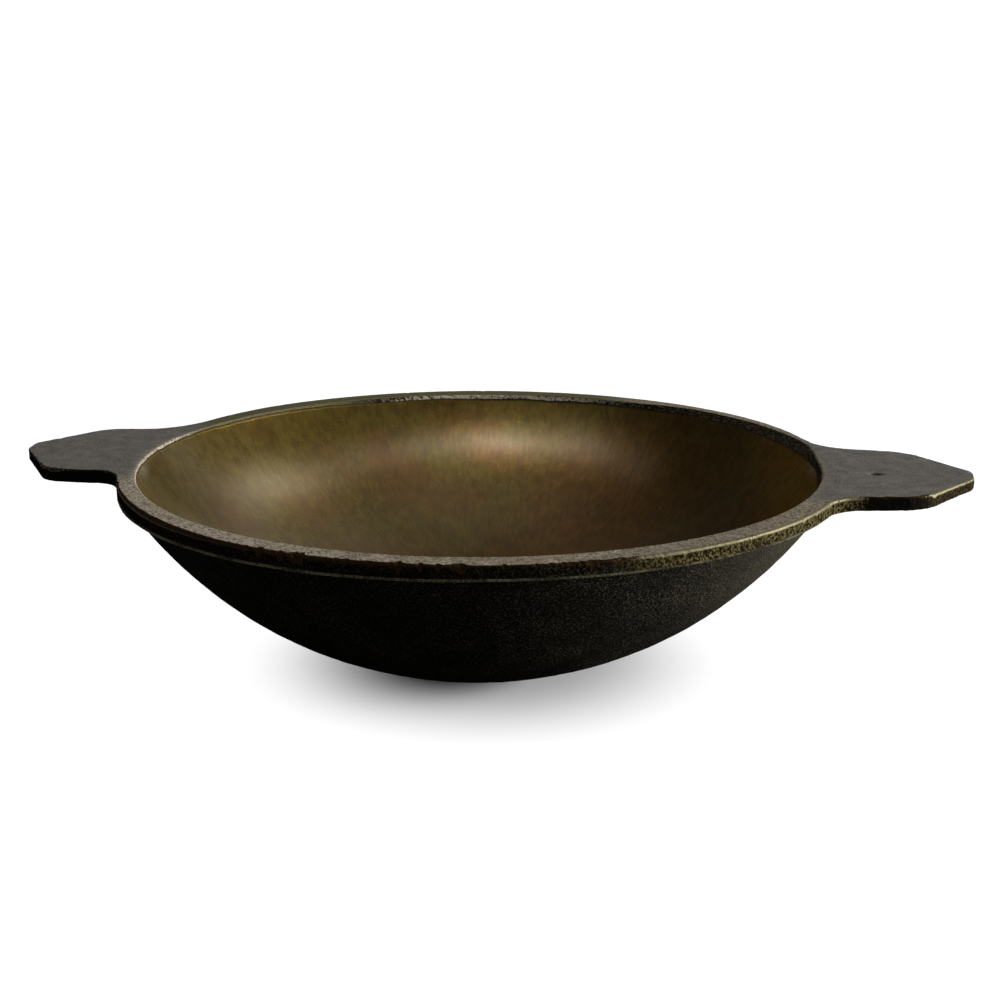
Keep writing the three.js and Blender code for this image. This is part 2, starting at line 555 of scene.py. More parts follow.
class ShaderSheet:
    """Node sheet of one material or of the world."""

    def __init__(self, tree: bpy.types.NodeTree) -> None:
        """Starts from an empty sheet.

        Args:
            tree: Tree that the nodes go on.
        """
        self.tree = tree
        self.tree.nodes.clear()

    def node(self, kind: str, settings: dict | None = None, inputs: dict | None = None) -> bpy.types.Node:
        """Adds any node.

        Args:
            kind: Type of the node.
            settings: Properties of the node, which are set first.
            inputs: Values or links of its sockets, by name or number.

        Returns:
            The node.
        """
        node = self.tree.nodes.new(kind)
        for name, value in (settings or {}).items():
            setattr(node, name, value)
        for key, value in (inputs or {}).items():
            socket = node.inputs[key]
            source = value.socket if isinstance(value, Signal) else value
            if isinstance(source, bpy.types.NodeSocket):
                self.tree.links.new(source, socket)
            elif isinstance(source, tuple) and len(source) == 3 and socket.type == "RGBA":
                socket.default_value = (*source, 1.0)
            else:
                socket.default_value = source
        return node

    def place(self) -> bpy.types.NodeSocket:
        """Object coordinates, which are the frame's own metres."""
        return self.node("ShaderNodeTexCoord").outputs["Object"]

    def parts(self, vector: bpy.types.NodeSocket) -> tuple[Signal, Signal, Signal]:
        """The three numbers of a vector.

        Args:
            vector: Vector to take apart.

        Returns:
            Its x, y and z.
        """
        node = self.node("ShaderNodeSeparateXYZ", None, {0: vector})
        x, y, z = (Signal(self, output) for output in node.outputs)
        return x, y, z

    def vector(self, x: Number, y: Number, z: Number) -> bpy.types.NodeSocket:
        """Vector of three numbers."""
        return self.node("ShaderNodeCombineXYZ", None, {0: x, 1: y, 2: z}).outputs[0]

    def noise(self, vector: bpy.types.NodeSocket, size: float, detail: float = 2.0) -> Signal:
        """Soft noise of about 0.2 to 0.8.

        Args:
            vector: Where to take it.
            size: Size of its lumps, in the vector's units.
            detail: Number of finer layers.

        Returns:
            The noise.
        """
        inputs = {"Vector": vector, "Scale": 1.0 / size, "Detail": detail, "Roughness": 0.55}
        return Signal(self, self.node("ShaderNodeTexNoise", None, inputs).outputs[0])

    def share(self, name: Share) -> Signal:
        """A share painted on the piece's points."""
        return Signal(self, self.node("ShaderNodeAttribute", {"attribute_name": name.value}).outputs["Fac"])

    def blend(self, share: Number, first: Paint, second: Paint) -> bpy.types.NodeSocket:
        """Colour between two colours.

        Args:
            share: 0 for the first, 1 for the second.
            first: Colour where the share is 0.
            second: Colour where the share is 1.

        Returns:
            The blend.
        """
        settings = {"data_type": "RGBA"}
        return self.node("ShaderNodeMix", settings, {0: share, 6: first, 7: second}).outputs[2]


@dataclass(frozen=True)
class Layer:
    """One finish on its way to the shader: colour, gloss and the height of its relief in metres."""

    sheet: ShaderSheet
    colour: Paint
    roughness: Number
    metallic: Number
    coat: Number
    relief: Number

    def under(self, other: "Layer", share: Signal) -> "Layer":
        """This finish with another one over it.

        Args:
            other: Finish that shows where the share is 1.
            share: How much of the other finish shows.

        Returns:
            The blend of the two.
        """
        return Layer(
            self.sheet,
            self.sheet.blend(share, self.colour, other.colour),
            blend_numbers(share, self.roughness, other.roughness),
            blend_numbers(share, self.metallic, other.metallic),
            blend_numbers(share, self.coat, other.coat),
            blend_numbers(share, self.relief, other.relief),
        )

    def shade(self, specular: float, coat_roughness: float) -> None:
        """Feeds the finish to the shader and the shader to the surface.

        Args:
            specular: Specular level of the bare finish.
            coat_roughness: Roughness of the oil film.
        """
        height = {"Strength": 1.0, "Distance": 1.0, "Height": self.relief}
        bump = self.sheet.node("ShaderNodeBump", None, height)
        inputs = {
            "Base Color": self.colour,
            "Roughness": self.roughness,
            "Metallic": self.metallic,
            "Specular IOR Level": specular,
            "Coat Weight": self.coat,
            "Coat Roughness": coat_roughness,
            "Normal": bump.outputs[0],
        }
        shader = self.sheet.node("ShaderNodeBsdfPrincipled", None, inputs)
        self.sheet.node("ShaderNodeOutputMaterial", None, {"Surface": shader.outputs[0]})


@dataclass(frozen=True)
class CastSkin:
    """As-cast iron, seasoned black: coarse sand grain whose tops are rubbed a little paler, with painted
    light that makes the right side paler and the left side grey.
    """

    black: Colour = (0.0085, 0.0080, 0.0065)
    rubbed: Colour = (0.088, 0.079, 0.056)
    # Painted light: the grey that the skin is painted towards -X, as if lit from the left.
    grey: Colour = (0.026, 0.026, 0.027)
    left_painted_light_from: float = 45 * MM
    left_painted_light_to: float = 90 * MM
    grain: float = 0.62 * MM
    dust: float = 0.24 * MM
    blotch: float = 21 * MM
    # Painted light: between these x values the skin is painted paler towards +X, as if lit from the right.
    right_painted_light_from: float = 65 * MM
    right_painted_light_to: float = 112 * MM
    grain_height: float = 0.26 * MM
    dust_height: float = 0.06 * MM

    def paint(self, sheet: ShaderSheet) -> Layer:
        """Lays the finish.

        Args:
            sheet: Sheet of the material.

        Returns:
            The finish.
        """
        place = sheet.place()
        grain = sheet.noise(place, self.grain, 2.0)
        dust = sheet.noise(place, self.dust, 1.0)
        blotch = sheet.noise(place, self.blotch, 3.0).step(0.34, 0.66)
        tops = grain.step(0.47, 0.70)
        x, _, _ = sheet.parts(place)
        # Painted light: worn paints the skin towards the rubbed colour on the right side, and left lifts it
        # to grey on the left side, speckled by the dust noise.
        worn = 0.35 * x.step(self.right_painted_light_from, self.right_painted_light_to)
        left = (0.0 - x).step(self.left_painted_light_from, self.left_painted_light_to) * (0.5 + 0.5 * dust.step(0.4, 0.6))
        ground = sheet.blend(left, self.black, self.grey)
        colour = sheet.blend(tops * (0.45 + 0.55 * blotch) + worn, ground, self.rubbed)
        relief = grain * self.grain_height + dust * self.dust_height
        return Layer(sheet, colour, 0.92 - 0.1 * tops, 0.0, 0.0, relief)


@dataclass(frozen=True)
class RubbedWall:
    """Outer wall of the flange on the right: yellowish rubbed specks on the black skin, laid on the right
    side only, partly as painted light from the right.
    """

    black: Colour = (0.0080, 0.0062, 0.0035)
    rubbed: Colour = (0.098, 0.080, 0.030)
    speckle: float = 0.80 * MM
    speckle_height: float = 0.14 * MM

    def paint(self, sheet: ShaderSheet) -> Layer:
        """Lays the finish.

        Args:
            sheet: Sheet of the material.

        Returns:
            The finish.
        """
        speckle = sheet.noise(sheet.place(), self.speckle, 3.0)
        tops = speckle.step(0.42, 0.64)
        colour = sheet.blend(tops, self.black, self.rubbed)
        return Layer(sheet, colour, 0.85 - 0.15 * tops, 0.2, 0.0, speckle * self.speckle_height)


@dataclass(frozen=True)
class LugSkin:
    """Flat top of a lug: dark neutral grey with a fine even grain."""

    dark: Colour = (0.088, 0.082, 0.072)
    pale: Colour = (0.172, 0.161, 0.142)
    grain: float = 0.6 * MM
    cloud: float = 5 * MM
    grain_height: float = 0.02 * MM

    def paint(self, sheet: ShaderSheet) -> Layer:
        """Lays the finish.

        Args:
            sheet: Sheet of the material.

        Returns:
            The finish.
        """
        place = sheet.place()
        grain = sheet.noise(place, self.grain, 3.0)
        cloud = sheet.noise(place, self.cloud, 3.0)
        tone = (0.7 * grain + 0.3 * cloud).step(0.36, 0.64)
        colour = sheet.blend(tone, self.dark, self.pale)
        return Layer(sheet, colour, 0.72 + 0.14 * grain, 0.1, 0.0, grain * self.grain_height)


@dataclass(frozen=True)
class WornLip:
    """Flat lip: rubbed taupe grey, speckled by the pores of the iron, and painted paler towards the left as
    painted light.
    """

    pore: Colour = (0.086, 0.070, 0.050)
    rubbed: Colour = (0.255, 0.214, 0.158)
    bright: Colour = (0.400, 0.348, 0.268)
    # Painted light: how fast the lip's colour is painted paler towards -X, standing in for light that falls
    # short on the left.
    left_painted_light_slope: float = 1.8
    patina: Colour = (0.108, 0.100, 0.044)
    speckle: float = 0.75 * MM
    cloud: float = 7 * MM
    speckle_height: float = 0.03 * MM

    def paint(self, sheet: ShaderSheet) -> Layer:
        """Lays the finish.

        Args:
            sheet: Sheet of the material.

        Returns:
            The finish.
        """
        place = sheet.place()
        speckle = sheet.noise(place, self.speckle, 3.0)
        cloud = sheet.noise(place, self.cloud, 3.0)
        x, _, _ = sheet.parts(place)
        # Painted light: the cloud's blend towards the bright colour is pushed up towards -X.
        body = sheet.blend((cloud - self.left_painted_light_slope * x).step(0.34, 0.70), self.rubbed, self.bright)
        open_iron = speckle.step(0.34, 0.60)
        body = sheet.blend(sheet.share(Share.PATINA), body, self.patina)
        colour = sheet.blend(open_iron, self.pore, body)
        return Layer(sheet, colour, 0.74 - 0.1 * open_iron, 0.15, 0.0, speckle * self.speckle_height)


@dataclass(frozen=True)
class WornEdge:
    """Edges of the flange: dark brown with bright brassy grey specks where rubbed; the rub-and-light share
    adds more of them at the front right as a painted highlight.
    """

    dull: Colour = (0.019, 0.010, 0.004)
    bright: Colour = (0.125, 0.110, 0.062)
    speckle: float = 0.7 * MM
    knock: float = 14 * MM
    speckle_height: float = 0.08 * MM

    def paint(self, sheet: ShaderSheet) -> Layer:
        """Lays the finish.

        Args:
            sheet: Sheet of the material.

        Returns:
            The finish.
        """
        place = sheet.place()
        speckle = sheet.noise(place, self.speckle, 2.0)
        knock = sheet.noise(place, self.knock, 3.0)
        # Painted highlight: where the rub-and-light share is high, at the front right, more of the edge is
        # painted bright.
        rub_and_highlight = 0.26 * (sheet.share(Share.RUB) - 0.5)
        rub = (0.6 * speckle + 0.4 * knock + rub_and_highlight).step(0.44, 0.62)
        colour = sheet.blend(rub, self.dull, self.bright)
        return Layer(sheet, colour, 0.66 - 0.18 * rub, 0.45, 0.0, speckle * self.speckle_height)


@dataclass(frozen=True)
class RoughBand:
    """Unground band inside the mouth: dark sand skin with torn specks, which are painted bright as lit at
    the middle of the back.
    """

    dark: Colour = (0.012, 0.009, 0.005)
    torn: Colour = (0.058, 0.039, 0.017)
    # Painted light: colour of the torn specks where the band is painted as lit.
    bright: Colour = (0.430, 0.385, 0.290)
    speck: float = 1.0 * MM
    speck_height: float = 0.20 * MM

    def paint(self, sheet: ShaderSheet) -> Layer:
        """Lays the finish.

        Args:
            sheet: Sheet of the material.

        Returns:
            The finish.
        """
        speck = sheet.noise(sheet.place(), self.speck, 3.0)
        # Painted light: on the band the rub-and-light share paints more and brighter torn specks at the
        # middle of the back.
        rub = sheet.share(Share.RUB)
        torn = (speck + 0.20 * (rub - 0.5)).step(0.42, 0.62)
        colour = sheet.blend(torn, self.dark, sheet.blend(rub, self.torn, self.bright))
        return Layer(sheet, colour, 0.72 - 0.2 * torn, 0.3, 0.0, speck * self.speck_height)


@dataclass(frozen=True)
class GroundFace:
    """Ground and seasoned cooking face: olive-brown film on short strokes that run down the bowl."""

    sphere: float
    olive: Colour = (0.108, 0.0730, 0.0140)
    brown: Colour = (0.112, 0.0590, 0.0115)
    rust: Colour = (0.130, 0.0600, 0.0115)
    streaks_round: float = 480.0
    streak_length: float = 4.5 * MM
    pebble: float = 1.7 * MM
    dapple: float = 5 * MM
    cloud: float = 26 * MM
    redden: float = 0.9
    streak_height: float = 0.065 * MM
    pebble_height: float = 0.008 * MM
    rust_place: Colour = (0.037, 0.074, 0.032)
    rust_reach: float = 46 * MM
    metallic: float = 0.75
    coat: float = 0.50
    dull_from: float = 86 * MM
    dull_to: float = 112 * MM
    dull_share: float = 0.85

    def _streaks(self, sheet: ShaderSheet) -> Signal:
        """Noise stretched along the meridians: read at (k cos a, k sin a, arc / length).

        Args:
            sheet: Sheet of the material.

        Returns:
            The streaks.
        """
        x, y, _ = sheet.parts(sheet.place())
        radius = ((x * x + y * y) ** 0.5).highest(1.0 * MM)
        ring = self.streaks_round / (2.0 * math.pi)
        along = (radius / self.sphere).arc_sine() * (self.sphere / self.streak_length)
        return sheet.noise(sheet.vector(x / radius * ring, y / radius * ring, along), 1.0, 2.0)

    def paint(self, sheet: ShaderSheet) -> Layer:
        """Lays the finish.

        Args:
            sheet: Sheet of the material.

        Returns:
            The finish.
        """
        place = sheet.place()
        x, _, _ = sheet.parts(place)
        streak = self._streaks(sheet)
        pebble = sheet.noise(place, self.pebble, 2.0)
        dapple = sheet.noise(place, self.dapple, 3.0)
        cloud = sheet.noise(place, self.cloud, 4.0)
        away = {"operation": "DISTANCE"}
        distance = sheet.node("ShaderNodeVectorMath", away, {0: place, 1: self.rust_place})
        near = 1.0 - (Signal(sheet, distance.outputs["Value"]) / self.rust_reach).step(0.25, 1.0)
        film = sheet.blend((cloud - self.redden * x).step(0.36, 0.64), self.brown, self.olive)
        film = sheet.blend(near * cloud.step(0.3, 0.55), film, self.rust)
        thin = 0.80 + 0.40 * (0.55 * streak + 0.45 * dapple).step(0.34, 0.66)
        colour = sheet.node("ShaderNodeVectorMath", {"operation": "SCALE"}, {0: film, 3: thin}).outputs[0]
        roughness = 0.27 + 0.08 * (dapple - 0.5) + 0.08 * (cloud - 0.5)
        relief = streak * self.streak_height + pebble * self.pebble_height
        gloss = 1.0 - self.dull_share * x.step(self.dull_from, self.dull_to)
        return Layer(sheet, colour, roughness, self.metallic * gloss, self.coat * gloss, relief)


@dataclass(frozen=True)
class SeamEdge:
    """Raised seam, rubbed along its crest."""

    dull: Colour = (0.018, 0.017, 0.011)
    rubbed: Colour = (0.086, 0.078, 0.046)
    speckle: float = 0.8 * MM
    run: float = 12 * MM
    speckle_height: float = 0.10 * MM

    def paint(self, sheet: ShaderSheet) -> Layer:
        """Lays the finish.

        Args:
            sheet: Sheet of the material.

        Returns:
            The finish.
        """
        place = sheet.place()
        speckle = sheet.noise(place, self.speckle, 2.0)
        run = sheet.noise(place, self.run, 2.0)
        rub = (0.5 * speckle + 0.5 * run).step(0.40, 0.60)
        colour = sheet.blend(rub, self.dull, self.rubbed)
        return Layer(sheet, colour, 0.70 - 0.15 * rub, 0.3, 0.0, speckle * self.speckle_height)


@dataclass(frozen=True)
class FlangeSkin:
    """All the finishes of the flange and its lugs, told apart by painted shares and by the radius."""

    rim_radius: float
    face_radius: float
    lip_from: float = -10.0 * MM
    lip_to: float = -5.0 * MM
    # Near black: painted shade in the lug's pit, and the colour that darkens the lugs' sides and undersides.
    pit: Colour = (0.004, 0.0035, 0.003)
    soot: Colour = (0.0045, 0.0038, 0.0028)
    soot_rubbed: Colour = (0.046, 0.038, 0.026)
    lug_darkening: float = 0.75

    def paint(self, sheet: ShaderSheet) -> Layer:
        """Lays cast skin, rubbed wall, the lug's or the lip's top, worn edges, the band, the ground face.

        Args:
            sheet: Sheet of the material.

        Returns:
            The finish.
        """
        x, y, _ = sheet.parts(sheet.place())
        radius = (x * x + y * y) ** 0.5
        ragged = 2.0 * MM * (sheet.noise(sheet.place(), 4 * MM, 3.0) - 0.5)
        on_lug = (radius + ragged).step(self.rim_radius + self.lip_from, self.rim_radius + self.lip_to)
        top = WornLip().paint(sheet).under(LugSkin().paint(sheet), on_lug * sheet.share(Share.LUG))
        # Painted shade: the pit in the lug's top is painted near black.
        top = top.under(Layer(sheet, self.pit, 0.9, 0.0, 0.0, 0.0), sheet.share(Share.PIT))
        skin = CastSkin(black=self.soot, rubbed=self.soot_rubbed, grey=self.soot).paint(sheet)
        # The lug share darkens the lugs' sides and undersides nearly to black.
        lug_skin = Layer(sheet, self.pit, 0.95, 0.0, 0.0, skin.relief)
        skin = skin.under(lug_skin, self.lug_darkening * sheet.share(Share.LUG))
        # The wall share lays the yellowish specks only on the right: rubbed wear, and partly painted light
        # from the right.
        layer = skin.under(RubbedWall().paint(sheet), sheet.share(Share.WALL))
        layer = layer.under(top, sheet.share(Share.TOP))
        layer = layer.under(WornEdge().paint(sheet), sheet.share(Share.EDGE))
        layer = layer.under(RoughBand().paint(sheet), sheet.share(Share.BAND))
        return layer.under(GroundFace(self.face_radius).paint(sheet), sheet.share(Share.GROUND))


Finish = CastSkin | GroundFace | FlangeSkin | SeamEdge


def dress(piece: bpy.types.Object, finish: Finish, slot: str, node: str) -> None:
    """Gives a piece its material and its place in the frame.

    Args:
        piece: Piece to dress.
        finish: Finish of its surface.
        slot: Name of the piece's material slot, which is only written to the log.
        node: Solid that the piece stands for.
    """
    material = bpy.data.materials.new(f"{node}_finish")
    material.use_nodes = True
    layer = finish.paint(ShaderSheet(material.node_tree))
    layer.shade(specular=0.0, coat_roughness=0.16)
    piece.data.materials.append(material)
    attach(piece, BODY)
    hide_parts(node)
    LOG.info("%s: %d faces, slot %s", piece.name, len(piece.data.polygons), slot)


@dataclass(frozen=True)
class Cup:
    """The cup as cast: foot, outer sphere and the seat of the ground skin."""

    sizes: PanSizes
    marks: CastingMarks
    columns: int = 540
    foot_rows: int = 6
    outside_rows: int = 140
    seat_rows: int = 12
    foot_fade: float = 7 * MM
    mould_shift: float = -0.6 * MM
    foot_inside: float = 0.12
    foot_outside: float = 0.97

    def outside(self) -> np.ndarray:
        """Outer sphere from foot to flange, raised along its normal by the casting's skin.

        The two halves of the mould were a little out of line, so the whole sphere stands to the left.

        Returns:
            Points as rows by columns by x, y, z.
        """
        s = self.sizes
        start = math.asin(s.foot_radius / s.bowl_radius)
        end = math.acos((s.bowl_centre - s.flange_bottom) / s.bowl_radius)
        polar = np.linspace(start, end, self.outside_rows)
        height = s.bowl_centre - s.bowl_radius * np.cos(polar)
        true = turn(s.bowl_radius * np.sin(polar), height, self.columns)
        normal = (true - (0.0, 0.0, s.bowl_centre)) / s.bowl_radius
        fade = smooth_step(0.0, self.foot_fade, true[..., 2])
        points = true + normal * (fade * self.marks.skin(true))[..., None]
        points[..., 2] = np.maximum(points[..., 2], 0.0)
        points[..., 0] += self.mould_shift
        return points

    def build(self) -> bpy.types.Object:
        """Foot, outside, top edge under the flange, then the sphere that the ground skin lies on.

        Returns:
            The piece.
        """
        s = self.sizes
        foot_radius = np.linspace(self.foot_inside, self.foot_outside, self.foot_rows) * s.foot_radius
        foot = turn(foot_radius, np.zeros(self.foot_rows), self.columns)
        seat = s.seat_rings(self.seat_rows, self.columns)
        rings = np.concatenate([foot, self.outside(), seat])
        return lathe(rings, 0.0, s.seat_low).to_object("bowl_wall_skin")

    def dress(self) -> None:
        """Builds the cup and gives it its finish."""
        dress(self.build(), CastSkin(), "cast_skin", "bowl_wall")


@dataclass(frozen=True)
class CookingFace:
    """The ground inner skin of the cup, up to the flange."""

    sizes: PanSizes
    marks: CastingMarks
    columns: int = 480
    face_rows: int = 110
    seat_rows: int = 10
    pole: float = 0.012

    def build(self) -> bpy.types.Object:
        """Cooking face from its lowest point to the flange, then back down its seat.

        Returns:
            The piece.
        """
        s = self.sizes
        face_top = math.acos((s.face_centre - s.flange_bottom) / s.face_radius)
        polar = np.linspace(self.pole, face_top, self.face_rows)
        height = s.face_centre - s.face_radius * np.cos(polar)
        true = turn(s.face_radius * np.sin(polar), height, self.columns)
        inward = ((0.0, 0.0, s.face_centre) - true) / s.face_radius
        face = true + inward * self.marks.ground(true)[..., None]
        rings = np.concatenate([face, s.seat_rings(self.seat_rows, self.columns)])
        return lathe(rings, s.base_thickness, s.seat_low).to_object("cooking_face_skin")

    def dress(self) -> None:
        """Builds the face and gives it its finish."""
        dress(self.build(), GroundFace(self.sizes.face_radius), "ground_face", "cooking_face")


@dataclass(frozen=True)
class FlangeCounts:
    """Points round the flange's cross-section, stretch by stretch."""

    inner_edge: int = 5
    band: int = 10
    strip: int = 8
    underside: int = 10
    lower_edge: int = 4
    wall: int = 14
    bevel: int = 9
    top: int = 14


@dataclass(frozen=True)
class FlangeWear:
    """How the flange's edges are rounded, ground and knocked, by place round the pan."""

    marks: CastingMarks
    band_depth: float
    inner_round: float = 0.35 * MM
    lower_round: float = 0.3 * MM
    tip_round: float = 1.2 * MM
    bevel_small: float = 0.42 * MM
    bevel_large: float = 1.00 * MM
    bevel_least: float = 0.15 * MM
    bevel_ripple: float = 0.16 * MM
    chip_depth: float = 1.6 * MM
    chip_start: float = 0.50
    chip_spread: float = 0.45
    comb_depth: float = 2.6 * MM
    # The outer edge's wear and painted highlight rise between these x values.
    rub_and_light_from: float = 50 * MM
    rub_and_light_to: float = 72 * MM
    left_rub: float = 0.45
    nick_angle: float = math.radians(-67.3)
    nick_width: float = math.radians(0.6)
    nick_depth: float = 1.2 * MM
    sink_depth: float = 0.4 * MM
    lip_cut: float = 3.6 * MM
    band_ripple: float = 0.35 * MM
    band_right: float = 0.5 * MM
    band_left: float = 0.9 * MM
    band_least: float = 0.5 * MM

    def window(self, place: np.ndarray, middle: float, half: float, fade: float) -> np.ndarray:
        """1 within half of a middle direction, given in degrees, fading to 0 beyond it.

        Args:
            place: Points.
            middle: Middle direction.
            half: Half of the angle over which the window is open.
            fade: Angle over which it closes.

        Returns:
            0 to 1 at each point.
        """
        away = np.degrees(np.abs(self.angle_from(place, math.radians(middle))))
        return 1.0 - smooth_step(half, half + fade, away)

    TRIM_ANGLES = (
        -172, -166, -160, -150, -144, -136, -128, -120,
        12, 16, 20, 24, 28, 32, 38, 46, 55, 140, 148, 154, 157, 161, 165,
    )
    TRIM_DEPTHS = (
        0.0, 1.8, 1.9, 1.6, 1.2, 0.7, 0.3, 0.0,
        0.0, 0.5, 1.9, 2.1, 1.5, 1.1, 0.6, 0.2, 0.0, 0.0, 0.5, 1.0, 1.2, 0.3, 0.0,
    )
    TRIM_FADE = (127 * MM, 136 * MM)
    SHARE_DOWN = 0.6
    CHAMFER_ANGLES = (-166, -160, -152, -144, -136, -128, -122, -116, -92, -86, -82)
    CHAMFER_WIDTHS = (0.0, 0.1, 0.5, 0.9, 1.4, 1.4, 1.2, 0.8, 0.8, 0.2, 0.0)
    CHAMFER_FADE = (126 * MM, 130 * MM)

    @staticmethod
    def angle_from(place: np.ndarray, middle: float) -> np.ndarray:
        """Angle round Z from a middle direction, between -pi and pi.

        Args:
            place: Points.
            middle: Middle direction.

        Returns:
            The angle of each point.
        """
        turned = np.arctan2(place[..., 1], place[..., 0]) - middle
        return (turned + math.pi) % (2.0 * math.pi) - math.pi

    def _by_angle(
        self, place: np.ndarray, angles: tuple[float, ...], sizes: tuple[float, ...], fade: tuple[float, ...]
    ) -> np.ndarray:
        """Reads a table by the angle round Z and lets it fade out beyond the rim.

        Args:
            place: Points of the plan outline, at height 0.
            angles: Angles of the table, in degrees.
            sizes: Sizes at those angles, in millimetres.
            fade: Radii between which the size fades out.

        Returns:
            Size at each point.
        """
        angle = np.degrees(self.angle_from(place, 0.0))
        return np.interp(angle, angles, sizes) * MM * (1.0 - smooth_step(*fade, plan_radius(place)))

    def rub(self, place: np.ndarray) -> np.ndarray:
        """How much the outer edge is rubbed and painted with highlight: most at the front right, where the
        light from the right falls.

        Args:
            place: Points of the plan outline, at height 0.

        Returns:
            0 to 1 at each point.
        """
        x = place[..., 0]
        front = 1.0 - smooth_step(-15 * MM, 40 * MM, place[..., 1])
        sheltered = smooth_step(127 * MM, 131 * MM, x) - smooth_step(147 * MM, 151 * MM, x)
        specks = self.left_rub * (smooth_step(132 * MM, 137 * MM, -x) - smooth_step(146 * MM, 150 * MM, -x))
        return (smooth_step(self.rub_and_light_from, self.rub_and_light_to, x) * (1.0 - sheltered) + specks) * front

    def chipped(self, place: np.ndarray) -> np.ndarray:
        """How much more the front sides of the lugs are chipped.

        Args:
            place: Points of the plan outline, at height 0.

        Returns:
            0 to 1 at each point.
        """
        out = smooth_step(124 * MM, 130 * MM, np.abs(place[..., 0]))
        return out * (1.0 - smooth_step(-28 * MM, -20 * MM, place[..., 1]))

    def trim(self, place: np.ndarray) -> np.ndarray:
        """How far the rim's circle is ground back beside the lugs."""
        return self._by_angle(place, self.TRIM_ANGLES, self.TRIM_DEPTHS, self.TRIM_FADE)

    def chamfer(self, place: np.ndarray) -> np.ndarray:
        """Further width of the bevel at the front left."""
        return self._by_angle(place, self.CHAMFER_ANGLES, self.CHAMFER_WIDTHS, self.CHAMFER_FADE)

    def wall_share(self, place: np.ndarray) -> np.ndarray:
        """How much of the rub reaches the wall below the edge: only on the right, partly as painted light
        from the right, and less at the right lug's tip.
        """
        right = smooth_step(0.0, 10 * MM, place[..., 0])
        return right - 0.65 * smooth_step(138 * MM, 150 * MM, place[..., 0])

    def lug_share(self, place: np.ndarray) -> np.ndarray:
        """How much of the lug's own skin shows: all of it on the lug, none where plain rim goes on."""
        return 1.0 - smooth_step(36 * MM, 51 * MM, np.abs(place[..., 1]))

    def lower_edge(self, place: np.ndarray) -> np.ndarray:
        """Rounding of the wall's foot: larger at the lugs' tips, which knocks have worn."""
        return self.lower_round + self.tip_round * smooth_step(150 * MM, 162 * MM, plan_radius(place))

    def sink(self, place: np.ndarray) -> np.ndarray:
        """How much lower the wall's foot lies at the front left, where the flange was cast thicker."""
        return self.sink_depth * self.window(place, -122.0, 24.0, 22.0)

    def lip_inset(self, place: np.ndarray) -> np.ndarray:
        """How far the lip's inner edge is worn back: at the back right it is a slope, not an edge."""
        return self.lip_cut * self.window(place, 37.0, 16.0, 16.0)

    def patina(self, place: np.ndarray) -> np.ndarray:
        """How far the cooking face's film runs over the lip: along the back and the back left."""
        return self.window(place, 118.0, 42.0, 14.0)

    def bevel(self, place: np.ndarray) -> np.ndarray:
        """Width of the upper outer edge's bevel: wider where rubbed, rippled, with chips and one nick.

        Along the middle of the front small chips stand side by side like a comb's teeth.

        Args:
            place: Points of the plan outline, at height 0.

        Returns:
            Width at each point.
        """
        width = self.bevel_small + (self.bevel_large - self.bevel_small) * self.rub(place)
        ripple = self.bevel_ripple * self.marks.knocks.at(place, 6 * MM, octaves=3)
        start = self.chip_start - self.chip_spread * self.chipped(place)
        chip = np.maximum(self.marks.knocks.at(place + 0.4, 5 * MM, octaves=2) - start, 0.0)
        nick = np.exp(-((self.angle_from(place, self.nick_angle) / self.nick_width) ** 2))
        comb = np.maximum(self.marks.knocks.at(place + 0.2, 2.4 * MM, octaves=2) - 0.08, 0.0)
        comb = comb * self.window(place, -88.0, 20.0, 14.0)
        width = np.maximum(width + ripple, self.bevel_least)
        return width + self.chip_depth * chip + self.nick_depth * nick + self.comb_depth * comb

    def band(self, place: np.ndarray) -> np.ndarray:
        """Depth of the unground band below the lip: it wavers, deep at the right and shallow at the left.

        Args:
            place: Points of the lip's inner edge, at height 0.

        Returns:
            Depth at each point.
        """
        across = np.cos(self.angle_from(place, 0.0))
        right = self.band_right * smooth_step(0.6, 0.97, across)
        left = self.band_left * smooth_step(0.3, 0.9, -across)
        ripple = self.band_ripple * self.marks.knocks.at(place + 0.9, 14 * MM, octaves=3)
        return np.maximum(self.band_depth + right - left + ripple, self.band_least)

    def torn(self, place: np.ndarray) -> np.ndarray:
        """How rough the unground band is: most at the right and at the middle of the back.

        Args:
            place: Points of the lip's inner edge, at height 0.

        Returns:
            0 to 1 at each point.
        """
        right = self.window(place, 30.0, 38.0, 12.0)
        back = self.window(place, 97.0, 18.0, 18.0)
        return 0.15 + np.maximum(0.45 * right, 0.8 * back)

    def plain_band(self, place: np.ndarray) -> np.ndarray:
        """How much the band is rubbed to the lip's own colour: along the left."""
        return self.window(place, 190.0, 62.0, 16.0)

    def band_painted_light(self, place: np.ndarray) -> np.ndarray:
        """Painted light on the band's torn specks: brightest at the middle of the back, where the band is
        lit, and faint at the right.
        """
        right = 0.2 * self.window(place, 30.0, 38.0, 12.0)
        return np.maximum(self.window(place, 92.0, 12.0, 22.0), right)

    def inner_rub(self, place: np.ndarray) -> np.ndarray:
        """How bright the lip's inner edge is rubbed: at the back left and at the right end.

        Args:
            place: Points of the lip's inner edge, at height 0.

        Returns:
            0 to 1 at each point.
        """
        left = self.window(place, 160.0, 4.0, 9.0)
        right = self.window(place, 2.0, 6.0, 9.0)
        return np.maximum(0.2 * left, 0.4 * right)


@dataclass(frozen=True)
class FlangeSection:
    """Cross-sections of a flange: true points, painted shares, the skin's height, and the ground points."""

    points: np.ndarray
    shares: Shares
    height: np.ndarray
    ground: np.ndarray


